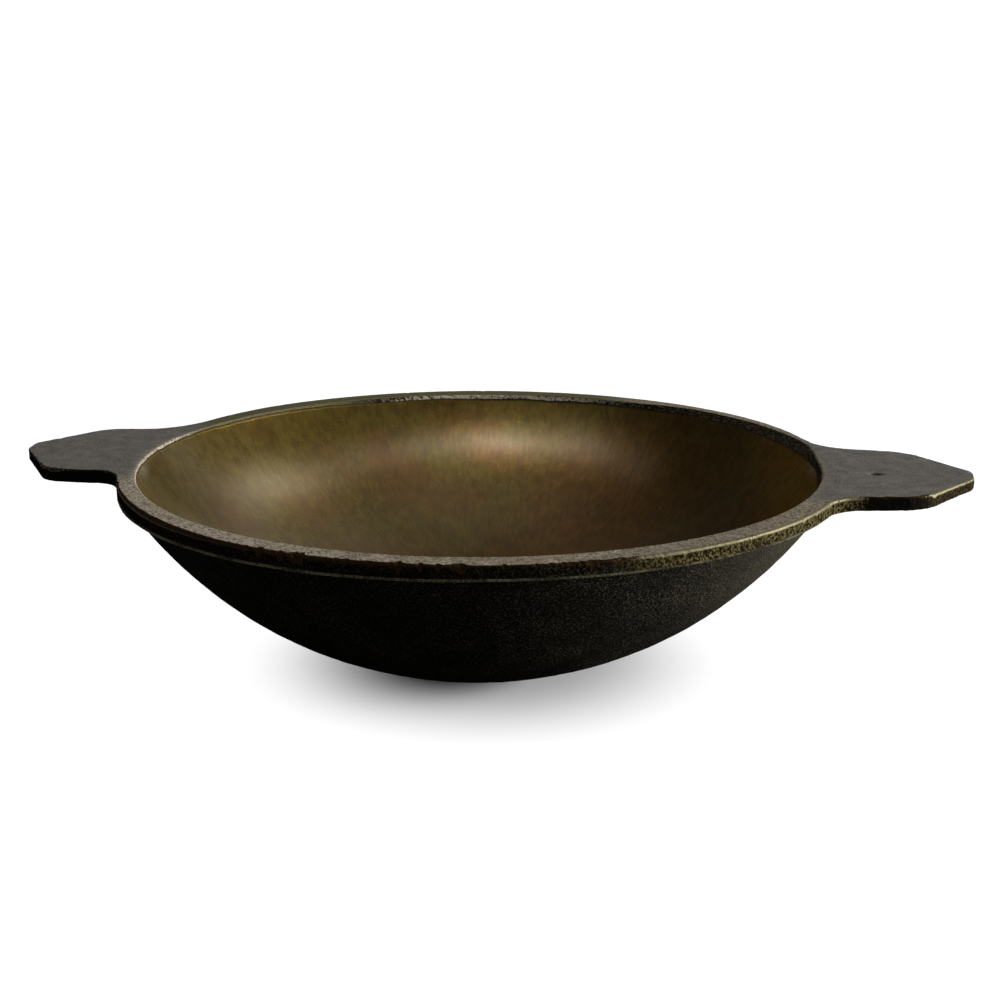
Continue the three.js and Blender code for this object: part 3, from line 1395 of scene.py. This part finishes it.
@dataclass(frozen=True)
class Flange:
    """A stretch of the flange: one cross-section carried along a plan outline."""

    sizes: PanSizes
    marks: CastingMarks
    counts: FlangeCounts
    node: str
    slot: str

    TOP_GRAIN = 0.05 * MM
    TOP_SAG = 0.05 * MM
    WALL_STRIPE = 0.16 * MM
    WALL_LUMP = 0.16 * MM
    BAND_LUMP = 0.16 * MM
    UNDER_LUMP = 0.12 * MM
    UNDER_FADE = 3
    FILM_FADE = 2.0
    LUG_TOP = 0.0

    def outline(self) -> tuple[np.ndarray, np.ndarray]:
        """Plan outline, anticlockwise, and its outward directions."""
        raise NotImplementedError

    def top_relief(self, points: np.ndarray) -> np.ndarray:
        """Further height of the top face. A plain stretch has none."""
        return np.zeros(points.shape[:-1])

    def pit(self, points: np.ndarray) -> np.ndarray:
        """Share of the top that is a pit. A plain stretch has none."""
        return np.zeros(points.shape[:-1])

    def section(self, outline: np.ndarray, outward: np.ndarray) -> FlangeSection:
        """True cross-sections, before the skin's unevenness.

        From the inner edge of the lip each runs down the unground band and the ground strip, out along the
        underside, up the wall, over the worn bevel and back along the lip. Inner points lie on the ray to
        the outline's point, outer ones on its normal, and the two flat faces run straight between them.

        Args:
            outline: Points of the plan outline.
            outward: Outward direction at each point.

        Returns:
            The cross-sections, with points as outline by section by x, y, z.
        """
        s = self.sizes
        n = self.counts
        wear = FlangeWear(self.marks, s.band_depth)
        ray = outline / np.linalg.norm(outline, axis=1, keepdims=True)
        flat = np.zeros((len(outline), 1))
        outer_place = np.hstack([outline, flat])
        inner_place = np.hstack([ray * s.lip_inner_radius, flat])
        lip = s.lip_inner_radius + wear.lip_inset(inner_place)[:, None]
        bevel = wear.bevel(outer_place)[:, None]
        band_z = s.height - wear.band(inner_place)[:, None]
        band_radius = s.face_level(band_z)
        share = wear.inner_round / np.hypot(lip - band_radius, s.height - band_z)
        edge_end = lip + (band_radius - lip) * share
        edge_end_z = s.height + (band_z - s.height) * share
        edge_start = lip + wear.inner_round

        def run(count: int) -> np.ndarray:
            """Equal steps from 0 up to, and without, 1."""
            return np.linspace(0.0, 1.0, count, endpoint=False)[None, :]

        def inner(radius: np.ndarray, z: np.ndarray) -> np.ndarray:
            """Points on the rays."""
            radius, z = np.broadcast_arrays(radius, z)
            return raised(ray[:, None, :] * radius[..., None], z)

        def outer(inset: np.ndarray, z: np.ndarray) -> np.ndarray:
            """Points on the outline's normals, set in from it."""
            inset, z = np.broadcast_arrays(inset, z)
            return raised(outline[:, None, :] - outward[:, None, :] * inset[..., None], z)

        low = s.flange_bottom
        strip_z = band_z + (low - band_z) * run(n.strip)
        foot = low - wear.sink(outer_place)[:, None]
        lower = wear.lower_edge(outer_place)[:, None]
        wall_low = foot + lower
        chamfer = wear.chamfer(outer_place)[:, None]
        shoulder_in = bevel + chamfer
        wall_high = s.height - bevel - wear.SHARE_DOWN * chamfer
        corner = run(n.lower_edge)
        over = run(n.bevel)
        under_in = inner(s.face_level(low), np.full_like(bevel, low))
        under_out = outer(lower, foot)
        lip_out = outer(shoulder_in, np.full_like(bevel, s.height))
        lip_in = inner(edge_start, np.full_like(bevel, s.height))
        stretches = [
            inner(
                bend(edge_start, lip, edge_end, run(n.inner_edge)),
                bend(s.height, s.height, edge_end_z, run(n.inner_edge)),
            ),
            inner(
                edge_end + (band_radius - edge_end) * run(n.band),
                edge_end_z + (band_z - edge_end_z) * run(n.band),
            ),
            inner(s.face_level(strip_z), strip_z),
            under_in + (under_out - under_in) * run(n.underside)[..., None],
            outer(bend(lower, 0.0, 0.0, corner), bend(foot, foot, wall_low, corner)),
            outer(flat + 0.0 * run(n.wall), wall_low + (wall_high - wall_low) * run(n.wall)),
            outer(bend(0.0, 0.0, shoulder_in, over), bend(wall_high, s.height, s.height, over)),
            lip_out + (lip_in - lip_out) * run(n.top)[..., None],
        ]
        points = np.concatenate(stretches, axis=1)
        torn = wear.torn(inner_place)[:, None]
        plain = wear.plain_band(inner_place)[:, None]
        inner_rub = wear.inner_rub(inner_place)[:, None]
        # The rub share carries painted light too: paler edges at the front right, and bright torn specks on
        # the band at the back middle.
        rub = wear.rub(outer_place)[:, None]
        wall_rub_and_light = rub * wear.wall_share(outer_place)[:, None]
        band_painted_light = wear.band_painted_light(inner_place)[:, None]
        patina = wear.patina(inner_place)[:, None]
        lug = self.LUG_TOP * wear.lug_share(outer_place)[:, None]
        inner_edge, band, strip, underside, lower_edge, wall, shoulder, top = Stretch
        painted = {
            Share.GROUND: {strip: 1.0},
            Share.BAND: {band: torn},
            Share.TOP: {inner_edge: 1.0, band: plain, top: 1.0},
            Share.EDGE: {inner_edge: inner_rub, shoulder: 1.0},
            Share.WALL: dict.fromkeys((lower_edge, wall), wall_rub_and_light),
            Share.RUB: {inner_edge: inner_rub, band: band_painted_light, lower_edge: rub, wall: rub, shoulder: rub},
            Share.PATINA: dict.fromkeys((inner_edge, band, shoulder, top), patina),
            Share.LUG: dict.fromkeys((inner_edge, underside, lower_edge, wall, shoulder, top), lug),
        }
        lengths = [stretch.shape[1] for stretch in stretches]

        def spread(row: dict[Stretch, np.ndarray | float]) -> np.ndarray:
            """Gives every point of a section its stretch's share, or none."""
            sizes = [(row.get(stretch, 0.0), (len(outline), lengths[stretch])) for stretch in Stretch]
            return np.concatenate([np.broadcast_to(*size) for size in sizes], axis=1)

        shares = {name.value: spread(row) for name, row in painted.items()}
        zone = np.repeat(np.arange(len(lengths)), lengths)
        step = np.concatenate([np.arange(count) for count in lengths])
        ground = (zone == strip) | ((zone == underside) & (step == 0))
        film = np.where(zone == strip, np.minimum(step / self.FILM_FADE, 1.0), 1.0)
        shares[Share.GROUND.value][:, ground] = film[ground]
        shares[Share.PIT.value] = self.pit(points) * (zone == top)
        return FlangeSection(points, shares, self._skin(points, zone, step, ground), ground)

    def _skin(
        self, points: np.ndarray, zone: np.ndarray, step: np.ndarray, ground: np.ndarray
    ) -> np.ndarray:
        """Unevenness along the section's normal, stretch by stretch.

        The lip and the wall only ever lose iron, so the piece stays inside the true outline. The wall's
        stripes come from noise that is stretched along Z. The underside starts even, so that it closes
        on the cooking face.

        Args:
            points: True points.
            zone: Number of the stretch that each point of a section is on.
            step: Number of the point within its stretch.
            ground: Which points lie on the cooking face's sphere.

        Returns:
            Height above the true surface.
        """
        sand = self.marks.sand
        stretched = points * (1.0, 1.0, 0.18)
        stripes = -self.WALL_STRIPE * (0.5 + 0.5 * sand.at(stretched, 1.3 * MM, octaves=2))
        wall = stripes - self.WALL_LUMP * (0.5 + 0.5 * sand.at(points, 4 * MM, octaves=2))
        grain = -self.TOP_GRAIN * (0.5 + 0.5 * sand.at(points, 1.2 * MM))
        top = grain - self.TOP_SAG * (0.5 + 0.5 * sand.at(points, 11 * MM)) + self.top_relief(points)
        band = self.BAND_LUMP * sand.at(points, 1.8 * MM, octaves=2)
        under = self.UNDER_LUMP * sand.at(points, 3 * MM, octaves=2)
        under = under * np.minimum(step / self.UNDER_FADE, 1.0)
        face = self.marks.ground(points)
        height = np.choose(zone[None, :], [top, band, face, under, wall, wall, 0.5 * (wall + top), top])
        return np.where(ground[None, :], face, height)

    def build(self) -> bpy.types.Object:
        """Carries the section along the outline and moves it along its normals by the skin's unevenness.

        A point's normal is the outline's direction crossed with the section's. Ground points move towards
        the centre of the cooking face's sphere, as the cooking face does.

        Returns:
            The piece, closed by a flat cap at both ends.
        """
        outline, outward = self.outline()
        trim = FlangeWear(self.marks, self.sizes.band_depth).trim(outline)
        section = self.section(outline - outward * trim[:, None], outward)
        points = section.points
        along = np.stack([-outward[:, 1], outward[:, 0], np.zeros(len(outward))], axis=-1)[:, None, :]
        round_section = np.roll(points, -1, axis=1) - np.roll(points, 1, axis=1)
        normal = np.cross(np.broadcast_to(along, points.shape), round_section)
        normal /= np.linalg.norm(normal, axis=-1, keepdims=True)
        inward = ((0.0, 0.0, self.sizes.face_centre) - points) / self.sizes.face_radius
        normal = np.where(section.ground[None, :, None], inward, normal)
        points = points + normal * section.height[..., None]
        points[..., 2] = np.minimum(points[..., 2], self.sizes.height)
        return tube(points, section.shares).to_object(f"{self.node}_skin")

    def dress(self) -> None:
        """Builds the stretch and gives it its finish."""
        finish = FlangeSkin(self.sizes.rim_radius, self.sizes.face_radius)
        dress(self.build(), finish, self.slot, self.node)


@dataclass(frozen=True)
class RimArc(Flange):
    """Plain stretch of the flange between the lugs."""

    facing: Facing = Facing.FRONT
    rows: int = 640

    def outline(self) -> tuple[np.ndarray, np.ndarray]:
        """Circle of the rim's radius between the lugs' sectors.

        Returns:
            Points of the outline and its outward directions.
        """
        half = math.pi / 2 - self.sizes.lug_span
        angle = np.linspace(self.facing.value - half, self.facing.value + half, self.rows)
        outward = unit(angle)
        return outward * self.sizes.rim_radius, outward


@dataclass(frozen=True)
class LugHandle(Flange):
    """A flat lug, a blunt pentagon in plan, with its sector of the flange.

    Pairs of sizes are for the side that comes first anticlockwise and for the other one.
    """

    side: Side = Side.RIGHT
    half_widths: tuple[float, float] = (32 * MM, 31.6 * MM)
    spreads: tuple[float, float] = (0.14, 0.12)
    shoulder_reaches: tuple[float, float] = (147.7 * MM, 147.6 * MM)
    tip_reaches: tuple[float, float] = (166.6 * MM, 167.2 * MM)
    tip_half_width: float = 4.8 * MM
    root_fillets: tuple[float, float] = (14.5 * MM, 14.8 * MM)
    corner_setbacks: tuple[float, float] = (8.2 * MM, 8.5 * MM)
    has_pit: bool = False
    rows: int = 520
    fine: int = 60

    LUG_TOP = 1.0
    LUG_DROP = 0.08 * MM
    PIT_PLACE = (134.6 * MM, -3.2 * MM)
    PIT_LENGTH = 2.1 * MM
    PIT_WIDTH = 1.7 * MM
    PIT_DEPTH = 0.9 * MM

    def _root(self, k: int) -> tuple[np.ndarray, np.ndarray, float]:
        """Where a root fillet lies: it touches the rim's circle and the lug's straight side.

        It is worked out with the side upwards in plan. The centre is the fillet's radius off the side and
        the rim's radius plus the fillet's off the axis.

        Args:
            k: 0 for the first side, 1 for the last.

        Returns:
            Centre, foot on the side, and the side's slant.
        """
        slant = math.atan(self.spreads[k])
        normal = np.array([math.sin(slant), math.cos(slant)])
        outwards = np.array([normal[1], -normal[0]])
        fillet = self.root_fillets[k]
        across = float(normal @ (self.shoulder_reaches[k], self.half_widths[k])) + fillet
        along = math.sqrt((self.sizes.rim_radius + fillet) ** 2 - across**2)
        centre = across * normal + along * outwards
        return centre, centre - fillet * normal, slant

    def _arc(self, centre: np.ndarray, radius: float, start: float, end: float) -> np.ndarray:
        """Points of an arc in plan.

        Args:
            centre: Centre of the arc.
            radius: Radius of the arc.
            start: First angle.
            end: Last angle.

        Returns:
            The points.
        """
        return centre + radius * unit(np.linspace(start, end, self.fine))

    def _corner(
        self, before: np.ndarray, corner: np.ndarray, after: np.ndarray, setback: float
    ) -> np.ndarray:
        """Points of a rounded corner that starts and ends a setback away from it.

        Args:
            before: A point on the way in.
            corner: The sharp corner.
            after: A point on the way out.
            setback: Distance of the rounding's ends from the corner.

        Returns:
            The points.
        """
        into = (before - corner) / np.linalg.norm(before - corner)
        out = (after - corner) / np.linalg.norm(after - corner)
        t = np.linspace(0.0, 1.0, self.fine)[:, None]
        return bend(corner + into * setback, corner, corner + out * setback, t)

    def outline(self) -> tuple[np.ndarray, np.ndarray]:
        """Flange arc, hollow root fillet, straight side, shoulder and tip, then down the other side.

        Returns:
            Points of the outline, equally spaced, and its outward directions.
        """
        rim = self.sizes.rim_radius
        span = self.sizes.lug_span
        mirror = np.array([1.0, -1.0])
        first_centre, first_foot, first_slant = self._root(0)
        last_centre, last_foot, last_slant = self._root(1)
        first_angle = math.atan2(first_centre[1], first_centre[0])
        last_angle = math.atan2(last_centre[1], last_centre[0])
        corners = np.array([
            first_foot * mirror,
            [self.shoulder_reaches[0], -self.half_widths[0]],
            [self.tip_reaches[0], -self.tip_half_width],
            [self.tip_reaches[1], self.tip_half_width],
            [self.shoulder_reaches[1], self.half_widths[1]],
            last_foot,
        ])
        blunt = self.tip_half_width / 2.0
        setbacks = (self.corner_setbacks[0], blunt, blunt, self.corner_setbacks[1])
        first_end = math.pi / 2 + first_slant
        last_start = -math.pi / 2 - last_slant
        path = np.concatenate([
            self._arc(np.zeros(2), rim, -span, -first_angle),
            self._arc(first_centre * mirror, self.root_fillets[0], math.pi - first_angle, first_end),
            *(self._corner(*corners[k : k + 3], setback) for k, setback in enumerate(setbacks)),
            self._arc(last_centre, self.root_fillets[1], last_start, last_angle - math.pi),
            self._arc(np.zeros(2), rim, last_angle, span),
        ])
        step = np.linalg.norm(np.diff(path, axis=0), axis=1)
        path = path[np.concatenate([[True], step > 1e-9])]
        length = np.concatenate([[0.0], np.cumsum(step[step > 1e-9])])
        even = np.linspace(0.0, length[-1], self.rows)
        points = np.stack([np.interp(even, length, path[:, k]) for k in (0, 1)], axis=-1)
        along = np.gradient(points, axis=0)
        outward = np.stack([along[:, 1], -along[:, 0]], axis=-1)
        outward[[0, -1]] = points[[0, -1]]
        outward /= np.linalg.norm(outward, axis=1, keepdims=True)
        return points * self.side.value, outward * self.side.value

    def top_relief(self, points: np.ndarray) -> np.ndarray:
        """The lug's top lies a hair below the ground lip, and may have a small pit left by the mould.

        Args:
            points: True points.

        Returns:
            Height above the true surface.
        """
        out = plan_radius(points) - self.sizes.rim_radius
        drop = -self.LUG_DROP * smooth_step(-1.0 * MM, 8.0 * MM, out)
        return drop - self.PIT_DEPTH * self.pit(points)

    def pit(self, points: np.ndarray) -> np.ndarray:
        """Share of the top that is the pit: an oval about its middle with a short slope at its edge.

        Args:
            points: True points.

        Returns:
            0 to 1 at each point.
        """
        along = (points[..., 0] - self.PIT_PLACE[0]) / self.PIT_LENGTH
        across = (points[..., 1] - self.PIT_PLACE[1]) / self.PIT_WIDTH
        return self.has_pit * (1.0 - smooth_step(0.7, 1.15, np.hypot(along, across)))


@dataclass(frozen=True)
class CastingSeam:
    """Raised line of the mould's parting, on the flange's wall just above its lower edge."""

    sizes: PanSizes
    marks: CastingMarks
    facing: Facing
    node: str
    height: float = 0.9 * MM
    bury: float = 0.5 * MM
    lift_left: float = -0.35 * MM
    lift_right: float = -0.05 * MM
    rows: int = 640
    ring: int = 12
    end_fade: float = math.radians(9.0)
    mean_proud: float = 0.82
    waver: float = 0.12 * MM

    def build(self) -> bpy.types.Object:
        """Half-round ridge along the rim: it stands out by p sin(pi t) at height z + h t, p wavering.

        Returns:
            The piece, closed by a flat cap at both ends.
        """
        s = self.sizes
        half = math.pi / 2 - s.lug_span
        turned = np.linspace(-half, half, self.rows)
        ray = unit(turned + self.facing.value)
        place = np.concatenate([ray * s.rim_radius, np.zeros((self.rows, 1))], axis=1)
        proud = (s.seam_radius - s.rim_radius) * smooth_step(0.0, self.end_fade, half - np.abs(turned))
        base = s.rim_radius - FlangeWear(self.marks, s.band_depth).trim(place)[:, None]
        rough = np.clip(self.marks.sand.at(place, 5 * MM, octaves=3), -1.0, 1.0)
        proud = proud * (self.mean_proud + (1.0 - self.mean_proud) * rough)
        waver = self.waver * self.marks.sand.at(place, 17 * MM, octaves=2)
        t = np.linspace(0.0, 1.0, self.ring)[None, :]
        radius = base - self.bury + (proud[:, None] + self.bury) * np.sin(math.pi * t) ** 0.5
        across = smooth_step(-25 * MM, 20 * MM, place[:, 0])
        lift = self.lift_left + (self.lift_right - self.lift_left) * across
        z = s.flange_bottom + (lift + waver)[:, None] + self.height * t
        points = raised(ray[:, None, :] * radius[..., None], z)
        return tube(points, {}).to_object(f"{self.node}_skin")

    def dress(self) -> None:
        """Builds the seam and gives it its finish."""
        dress(self.build(), SeamEdge(), "seam_edge", self.node)


def direction(azimuth: float, elevation: float) -> Vector:
    """Unit vector towards an azimuth round Z and an elevation, both in degrees.

    Args:
        azimuth: Angle from +X towards +Y.
        elevation: Angle above the floor.

    Returns:
        The direction.
    """
    turned, raised = math.radians(azimuth), math.radians(elevation)
    level = math.cos(raised)
    return Vector((level * math.cos(turned), level * math.sin(turned), math.sin(raised)))


@dataclass(frozen=True)
class Glow:
    """A soft light on the dome, far away."""

    middle: Vector
    sharpness: float
    strength: float

    def on(self, sheet: ShaderSheet, way: bpy.types.NodeSocket) -> Signal:
        """Light from a direction: strength exp(sharpness (cos of the angle to the middle - 1)).

        Args:
            sheet: Sheet of the dome.
            way: Direction that is looked in.

        Returns:
            The light.
        """
        inputs = {0: way, 1: tuple(self.middle)}
        facing = sheet.node("ShaderNodeVectorMath", {"operation": "DOT_PRODUCT"}, inputs)
        near = Signal(sheet, facing.outputs["Value"]) - 1.0
        return self.strength * (near * self.sharpness).exponent()


@dataclass(frozen=True)
class LightArc:
    """A thin bright arc over the pan, from the left over the front and the right to the low back."""

    azimuths: tuple[float, ...] = (172, -164, -143, -122, -98, -80, -60, -42, -25, 0, 15, 28, 39, 49, 62)
    elevations: tuple[float, ...] = (50, 55, 60, 63.5, 66, 67, 66.5, 65, 62.5, 57.5, 54, 48, 41, 35, 25)
    strengths: tuple[float, ...] = (
        0.2, 0.8, 3.4, 4.6, 10.0, 7.0, 3.6, 2.9, 1.8, 1.4, 1.5, 3.0, 4.0, 2.2, 0.1,
    )
    sharpness: float = 500.0
    lights: int = 32

    def glows(self) -> tuple[Glow, ...]:
        """Soft lights equally spaced along the arc, so close that they run together.

        Returns:
            The lights.
        """
        knots = np.array([direction(*knot) for knot in zip(self.azimuths, self.elevations)])
        along = np.concatenate([[0.0], np.cumsum(np.linalg.norm(np.diff(knots, axis=0), axis=1))])
        even = np.linspace(0.0, along[-1], self.lights)
        ways = np.stack([np.interp(even, along, knots[:, k]) for k in range(3)], axis=-1)
        strengths = np.interp(even, along, self.strengths)
        pairs = zip(ways, strengths)
        return tuple(Glow(Vector(way).normalized(), self.sharpness, float(s)) for way, s in pairs)


@dataclass(frozen=True)
class Softbox:
    """A rectangular studio light that faces the pan."""

    name: str
    azimuth: float
    elevation: float
    width: float
    height: float
    radiance: float
    distance: float = 1.4
    tint: Colour = (1.0, 1.0, 1.0)

    def build(self, target: Vector) -> None:
        """Hangs the light. Its power is radiance times pi times its area.

        Args:
            target: Point that it faces.
        """
        lamp = bpy.data.lights.new(self.name, "AREA")
        lamp.shape = "RECTANGLE"
        lamp.size = self.width
        lamp.size_y = self.height
        lamp.energy = math.pi * self.width * self.height * self.radiance
        lamp.color = self.tint
        towards = direction(self.azimuth, self.elevation)
        light = bpy.data.objects.new(self.name, lamp)
        light.location = target + towards * self.distance
        light.rotation_euler = towards.to_track_quat("Z", "Y").to_euler()
        light.visible_camera = False
        bpy.context.scene.collection.objects.link(light)


@dataclass(frozen=True)
class Studio:
    """White cove, dome, side light and the camera."""

    target: Vector
    camera_place: Vector = Vector((0.079357, -0.536588, 0.200118))
    camera_aim: Vector = Vector((0.007524, -0.002444, 0.057198))
    lens: float = 57.798
    sensor: float = 36.0
    cove_radius: float = 8.0
    cove_bend: float = 0.65
    cove_hole: float = 0.02
    cove_columns: int = 96
    flat_rows: int = 40
    bend_rows: int = 16
    floor_drop: float = 0.1 * MM
    bounce: Colour = (0.11, 0.11, 0.11)
    white: Colour = (0.92, 0.92, 0.92)
    # Painted shadow: between these radii round a point set right of and in front of the axis, the floor's
    # white glow fades in, which paints the shadow's soft edge.
    painted_shadow_from: float = 27 * MM
    painted_shadow_to: float = 90 * MM
    painted_shadow_right: float = 4.5 * MM
    painted_shadow_front: float = 2 * MM
    dome_dark: float = 0.03
    arc: LightArc = LightArc()
    fills: tuple[Glow, ...] = (
        Glow(direction(20.0, 22.0), 60.0, 0.55),
        Glow(direction(54.0, 13.0), 60.0, 0.60),
        Glow(direction(72.0, 33.0), 45.0, 0.85),
        Glow(direction(54.0, 54.0), 35.0, 0.75),
        Glow(direction(115.0, 52.0), 20.0, 0.25),
        Glow(direction(180.0, 76.0), 20.0, 0.42),
        Glow(direction(0.0, 78.0), 22.0, 0.80),
        Glow(direction(-90.0, 30.0), 20.0, 0.20),
    )
    right_box: Softbox = Softbox("right_low_box", 6.0, 9.0, 1.50, 0.77, 52.0, 3.0)

    def build_cove(self) -> None:
        """Floor that bends up into a low wall all round: a flat disc, then a quarter circle.

        The camera and mirror-like rays see it white away from the pan; near the pan the lit floor itself
        shows, with the pan's shadow, and in between a white glow that fades in with distance paints the
        shadow's soft edge. Other rays see a plain grey, so little light comes back from below.
        """
        flat = np.linspace(self.cove_hole, self.cove_radius, self.flat_rows)
        curve = np.linspace(0.0, math.pi / 2, self.bend_rows)[1:]
        radius = np.concatenate([flat, self.cove_radius + self.cove_bend * np.sin(curve)])
        height = np.concatenate([np.zeros(len(flat)), self.cove_bend * (1.0 - np.cos(curve))])
        rings = turn(radius, height - self.floor_drop, self.cove_columns)
        mesh = bpy.data.meshes.new("studio_cove")
        middle = np.arange(self.cove_columns)
        quads = [*grid_quads(len(radius), self.cove_columns).tolist(), middle[::-1].tolist()]
        mesh.from_pydata(rings.reshape(-1, 3).tolist(), [], quads)
        mesh.polygons.foreach_set("use_smooth", np.ones(len(mesh.polygons), dtype=bool))
        cove = bpy.data.objects.new("studio_cove", mesh)
        bpy.context.scene.collection.objects.link(cove)
        material = bpy.data.materials.new("studio_white")
        material.use_nodes = True
        material.cycles.emission_sampling = "NONE"
        mesh.materials.append(material)
        self._paint_cove(ShaderSheet(material.node_tree))

    def _paint_cove(self, sheet: ShaderSheet) -> None:
        """Plain white for the camera and for mirror-like rays, with the real shadow kept near the pan and a
        painted shadow edge where the white glow fades in round it.

        Args:
            sheet: Sheet of the cove's material.
        """
        rays = sheet.node("ShaderNodeLightPath").outputs
        seen = Signal(sheet, rays["Is Camera Ray"])
        for name in ("Is Glossy Ray", "Is Transmission Ray"):
            seen = seen.highest(Signal(sheet, rays[name]))
        # Painted shadow: the glow is zero near the pan and rises with distance from the offset point.
        x, y, _ = sheet.parts(sheet.place())
        x = x - self.painted_shadow_right
        y = y + self.painted_shadow_front
        away = ((x * x + y * y) ** 0.5).step(self.painted_shadow_from, self.painted_shadow_to)
        paint = sheet.blend(seen * (1.0 - away), self.bounce, self.white)
        lit = sheet.node("ShaderNodeBsdfDiffuse", None, {"Color": paint})
        glow = sheet.node("ShaderNodeEmission", None, {"Strength": seen * away})
        both = sheet.node("ShaderNodeAddShader", None, {0: lit.outputs[0], 1: glow.outputs[0]})
        sheet.node("ShaderNodeOutputMaterial", None, {"Surface": both.outputs[0]})

    def build_dome(self) -> None:
        """Dim dome with an arc of soft lights from the front over the top right to the low back."""
        world = bpy.data.worlds.new("studio_dome")
        world.use_nodes = True
        sheet = ShaderSheet(world.node_tree)
        way = sheet.node("ShaderNodeTexCoord").outputs["Generated"]
        strength: Number = self.dome_dark
        for glow in (*self.arc.glows(), *self.fills):
            strength = strength + glow.on(sheet, way)
        shell = sheet.node("ShaderNodeBackground", None, {"Strength": strength})
        sheet.node("ShaderNodeOutputWorld", None, {"Surface": shell.outputs[0]})
        bpy.context.scene.world = world

    def build_camera(self) -> None:
        """Camera at the photograph's angle, without shift or depth of field."""
        data = bpy.data.cameras.new("photo_camera")
        data.lens = self.lens
        data.sensor_width = self.sensor
        camera = bpy.data.objects.new("photo_camera", data)
        camera.location = self.camera_place
        camera.rotation_euler = (self.camera_aim - self.camera_place).to_track_quat("-Z", "Y").to_euler()
        bpy.context.scene.collection.objects.link(camera)
        bpy.context.scene.camera = camera

    def build(self) -> None:
        """Sets up camera, cove, dome and side light."""
        self.build_camera()
        self.build_cove()
        self.build_dome()
        self.right_box.build(self.target)
        bpy.context.scene.view_settings.view_transform = "Standard"


def main() -> None:
    """Builds the studio and every zone of the casting, in order."""
    logging.basicConfig(level=logging.INFO, format="%(name)s: %(message)s")
    sizes = PanSizes.from_frame()
    marks = CastingMarks()
    lug_counts = FlangeCounts(underside=40, top=60)
    Studio(target=Vector((0.0, 0.0, sizes.height))).build()
    Cup(sizes, marks).dress()
    CookingFace(sizes, marks).dress()
    RimArc(sizes, marks, FlangeCounts(), "rim_front", "worn_rim", Facing.FRONT).dress()
    RimArc(sizes, marks, FlangeCounts(), "rim_back", "worn_rim", Facing.BACK).dress()
    LugHandle(
        sizes, marks, lug_counts, "left_lug_handle", "lug_skin", Side.LEFT,
        half_widths=(31 * MM, 32.2 * MM), spreads=(0.13, 0.05),
        shoulder_reaches=(146.3 * MM, 144.9 * MM), tip_reaches=(163.4 * MM, 162.6 * MM),
        tip_half_width=4.6 * MM, root_fillets=(21 * MM, 13 * MM), corner_setbacks=(6 * MM, 5.4 * MM),
    ).dress()
    LugHandle(sizes, marks, lug_counts, "right_lug_handle", "lug_skin", Side.RIGHT, has_pit=True).dress()
    CastingSeam(sizes, marks, Facing.FRONT, "front_casting_seam").dress()
    CastingSeam(sizes, marks, Facing.BACK, "back_casting_seam").dress()


if __name__ == "__main__":
    main()
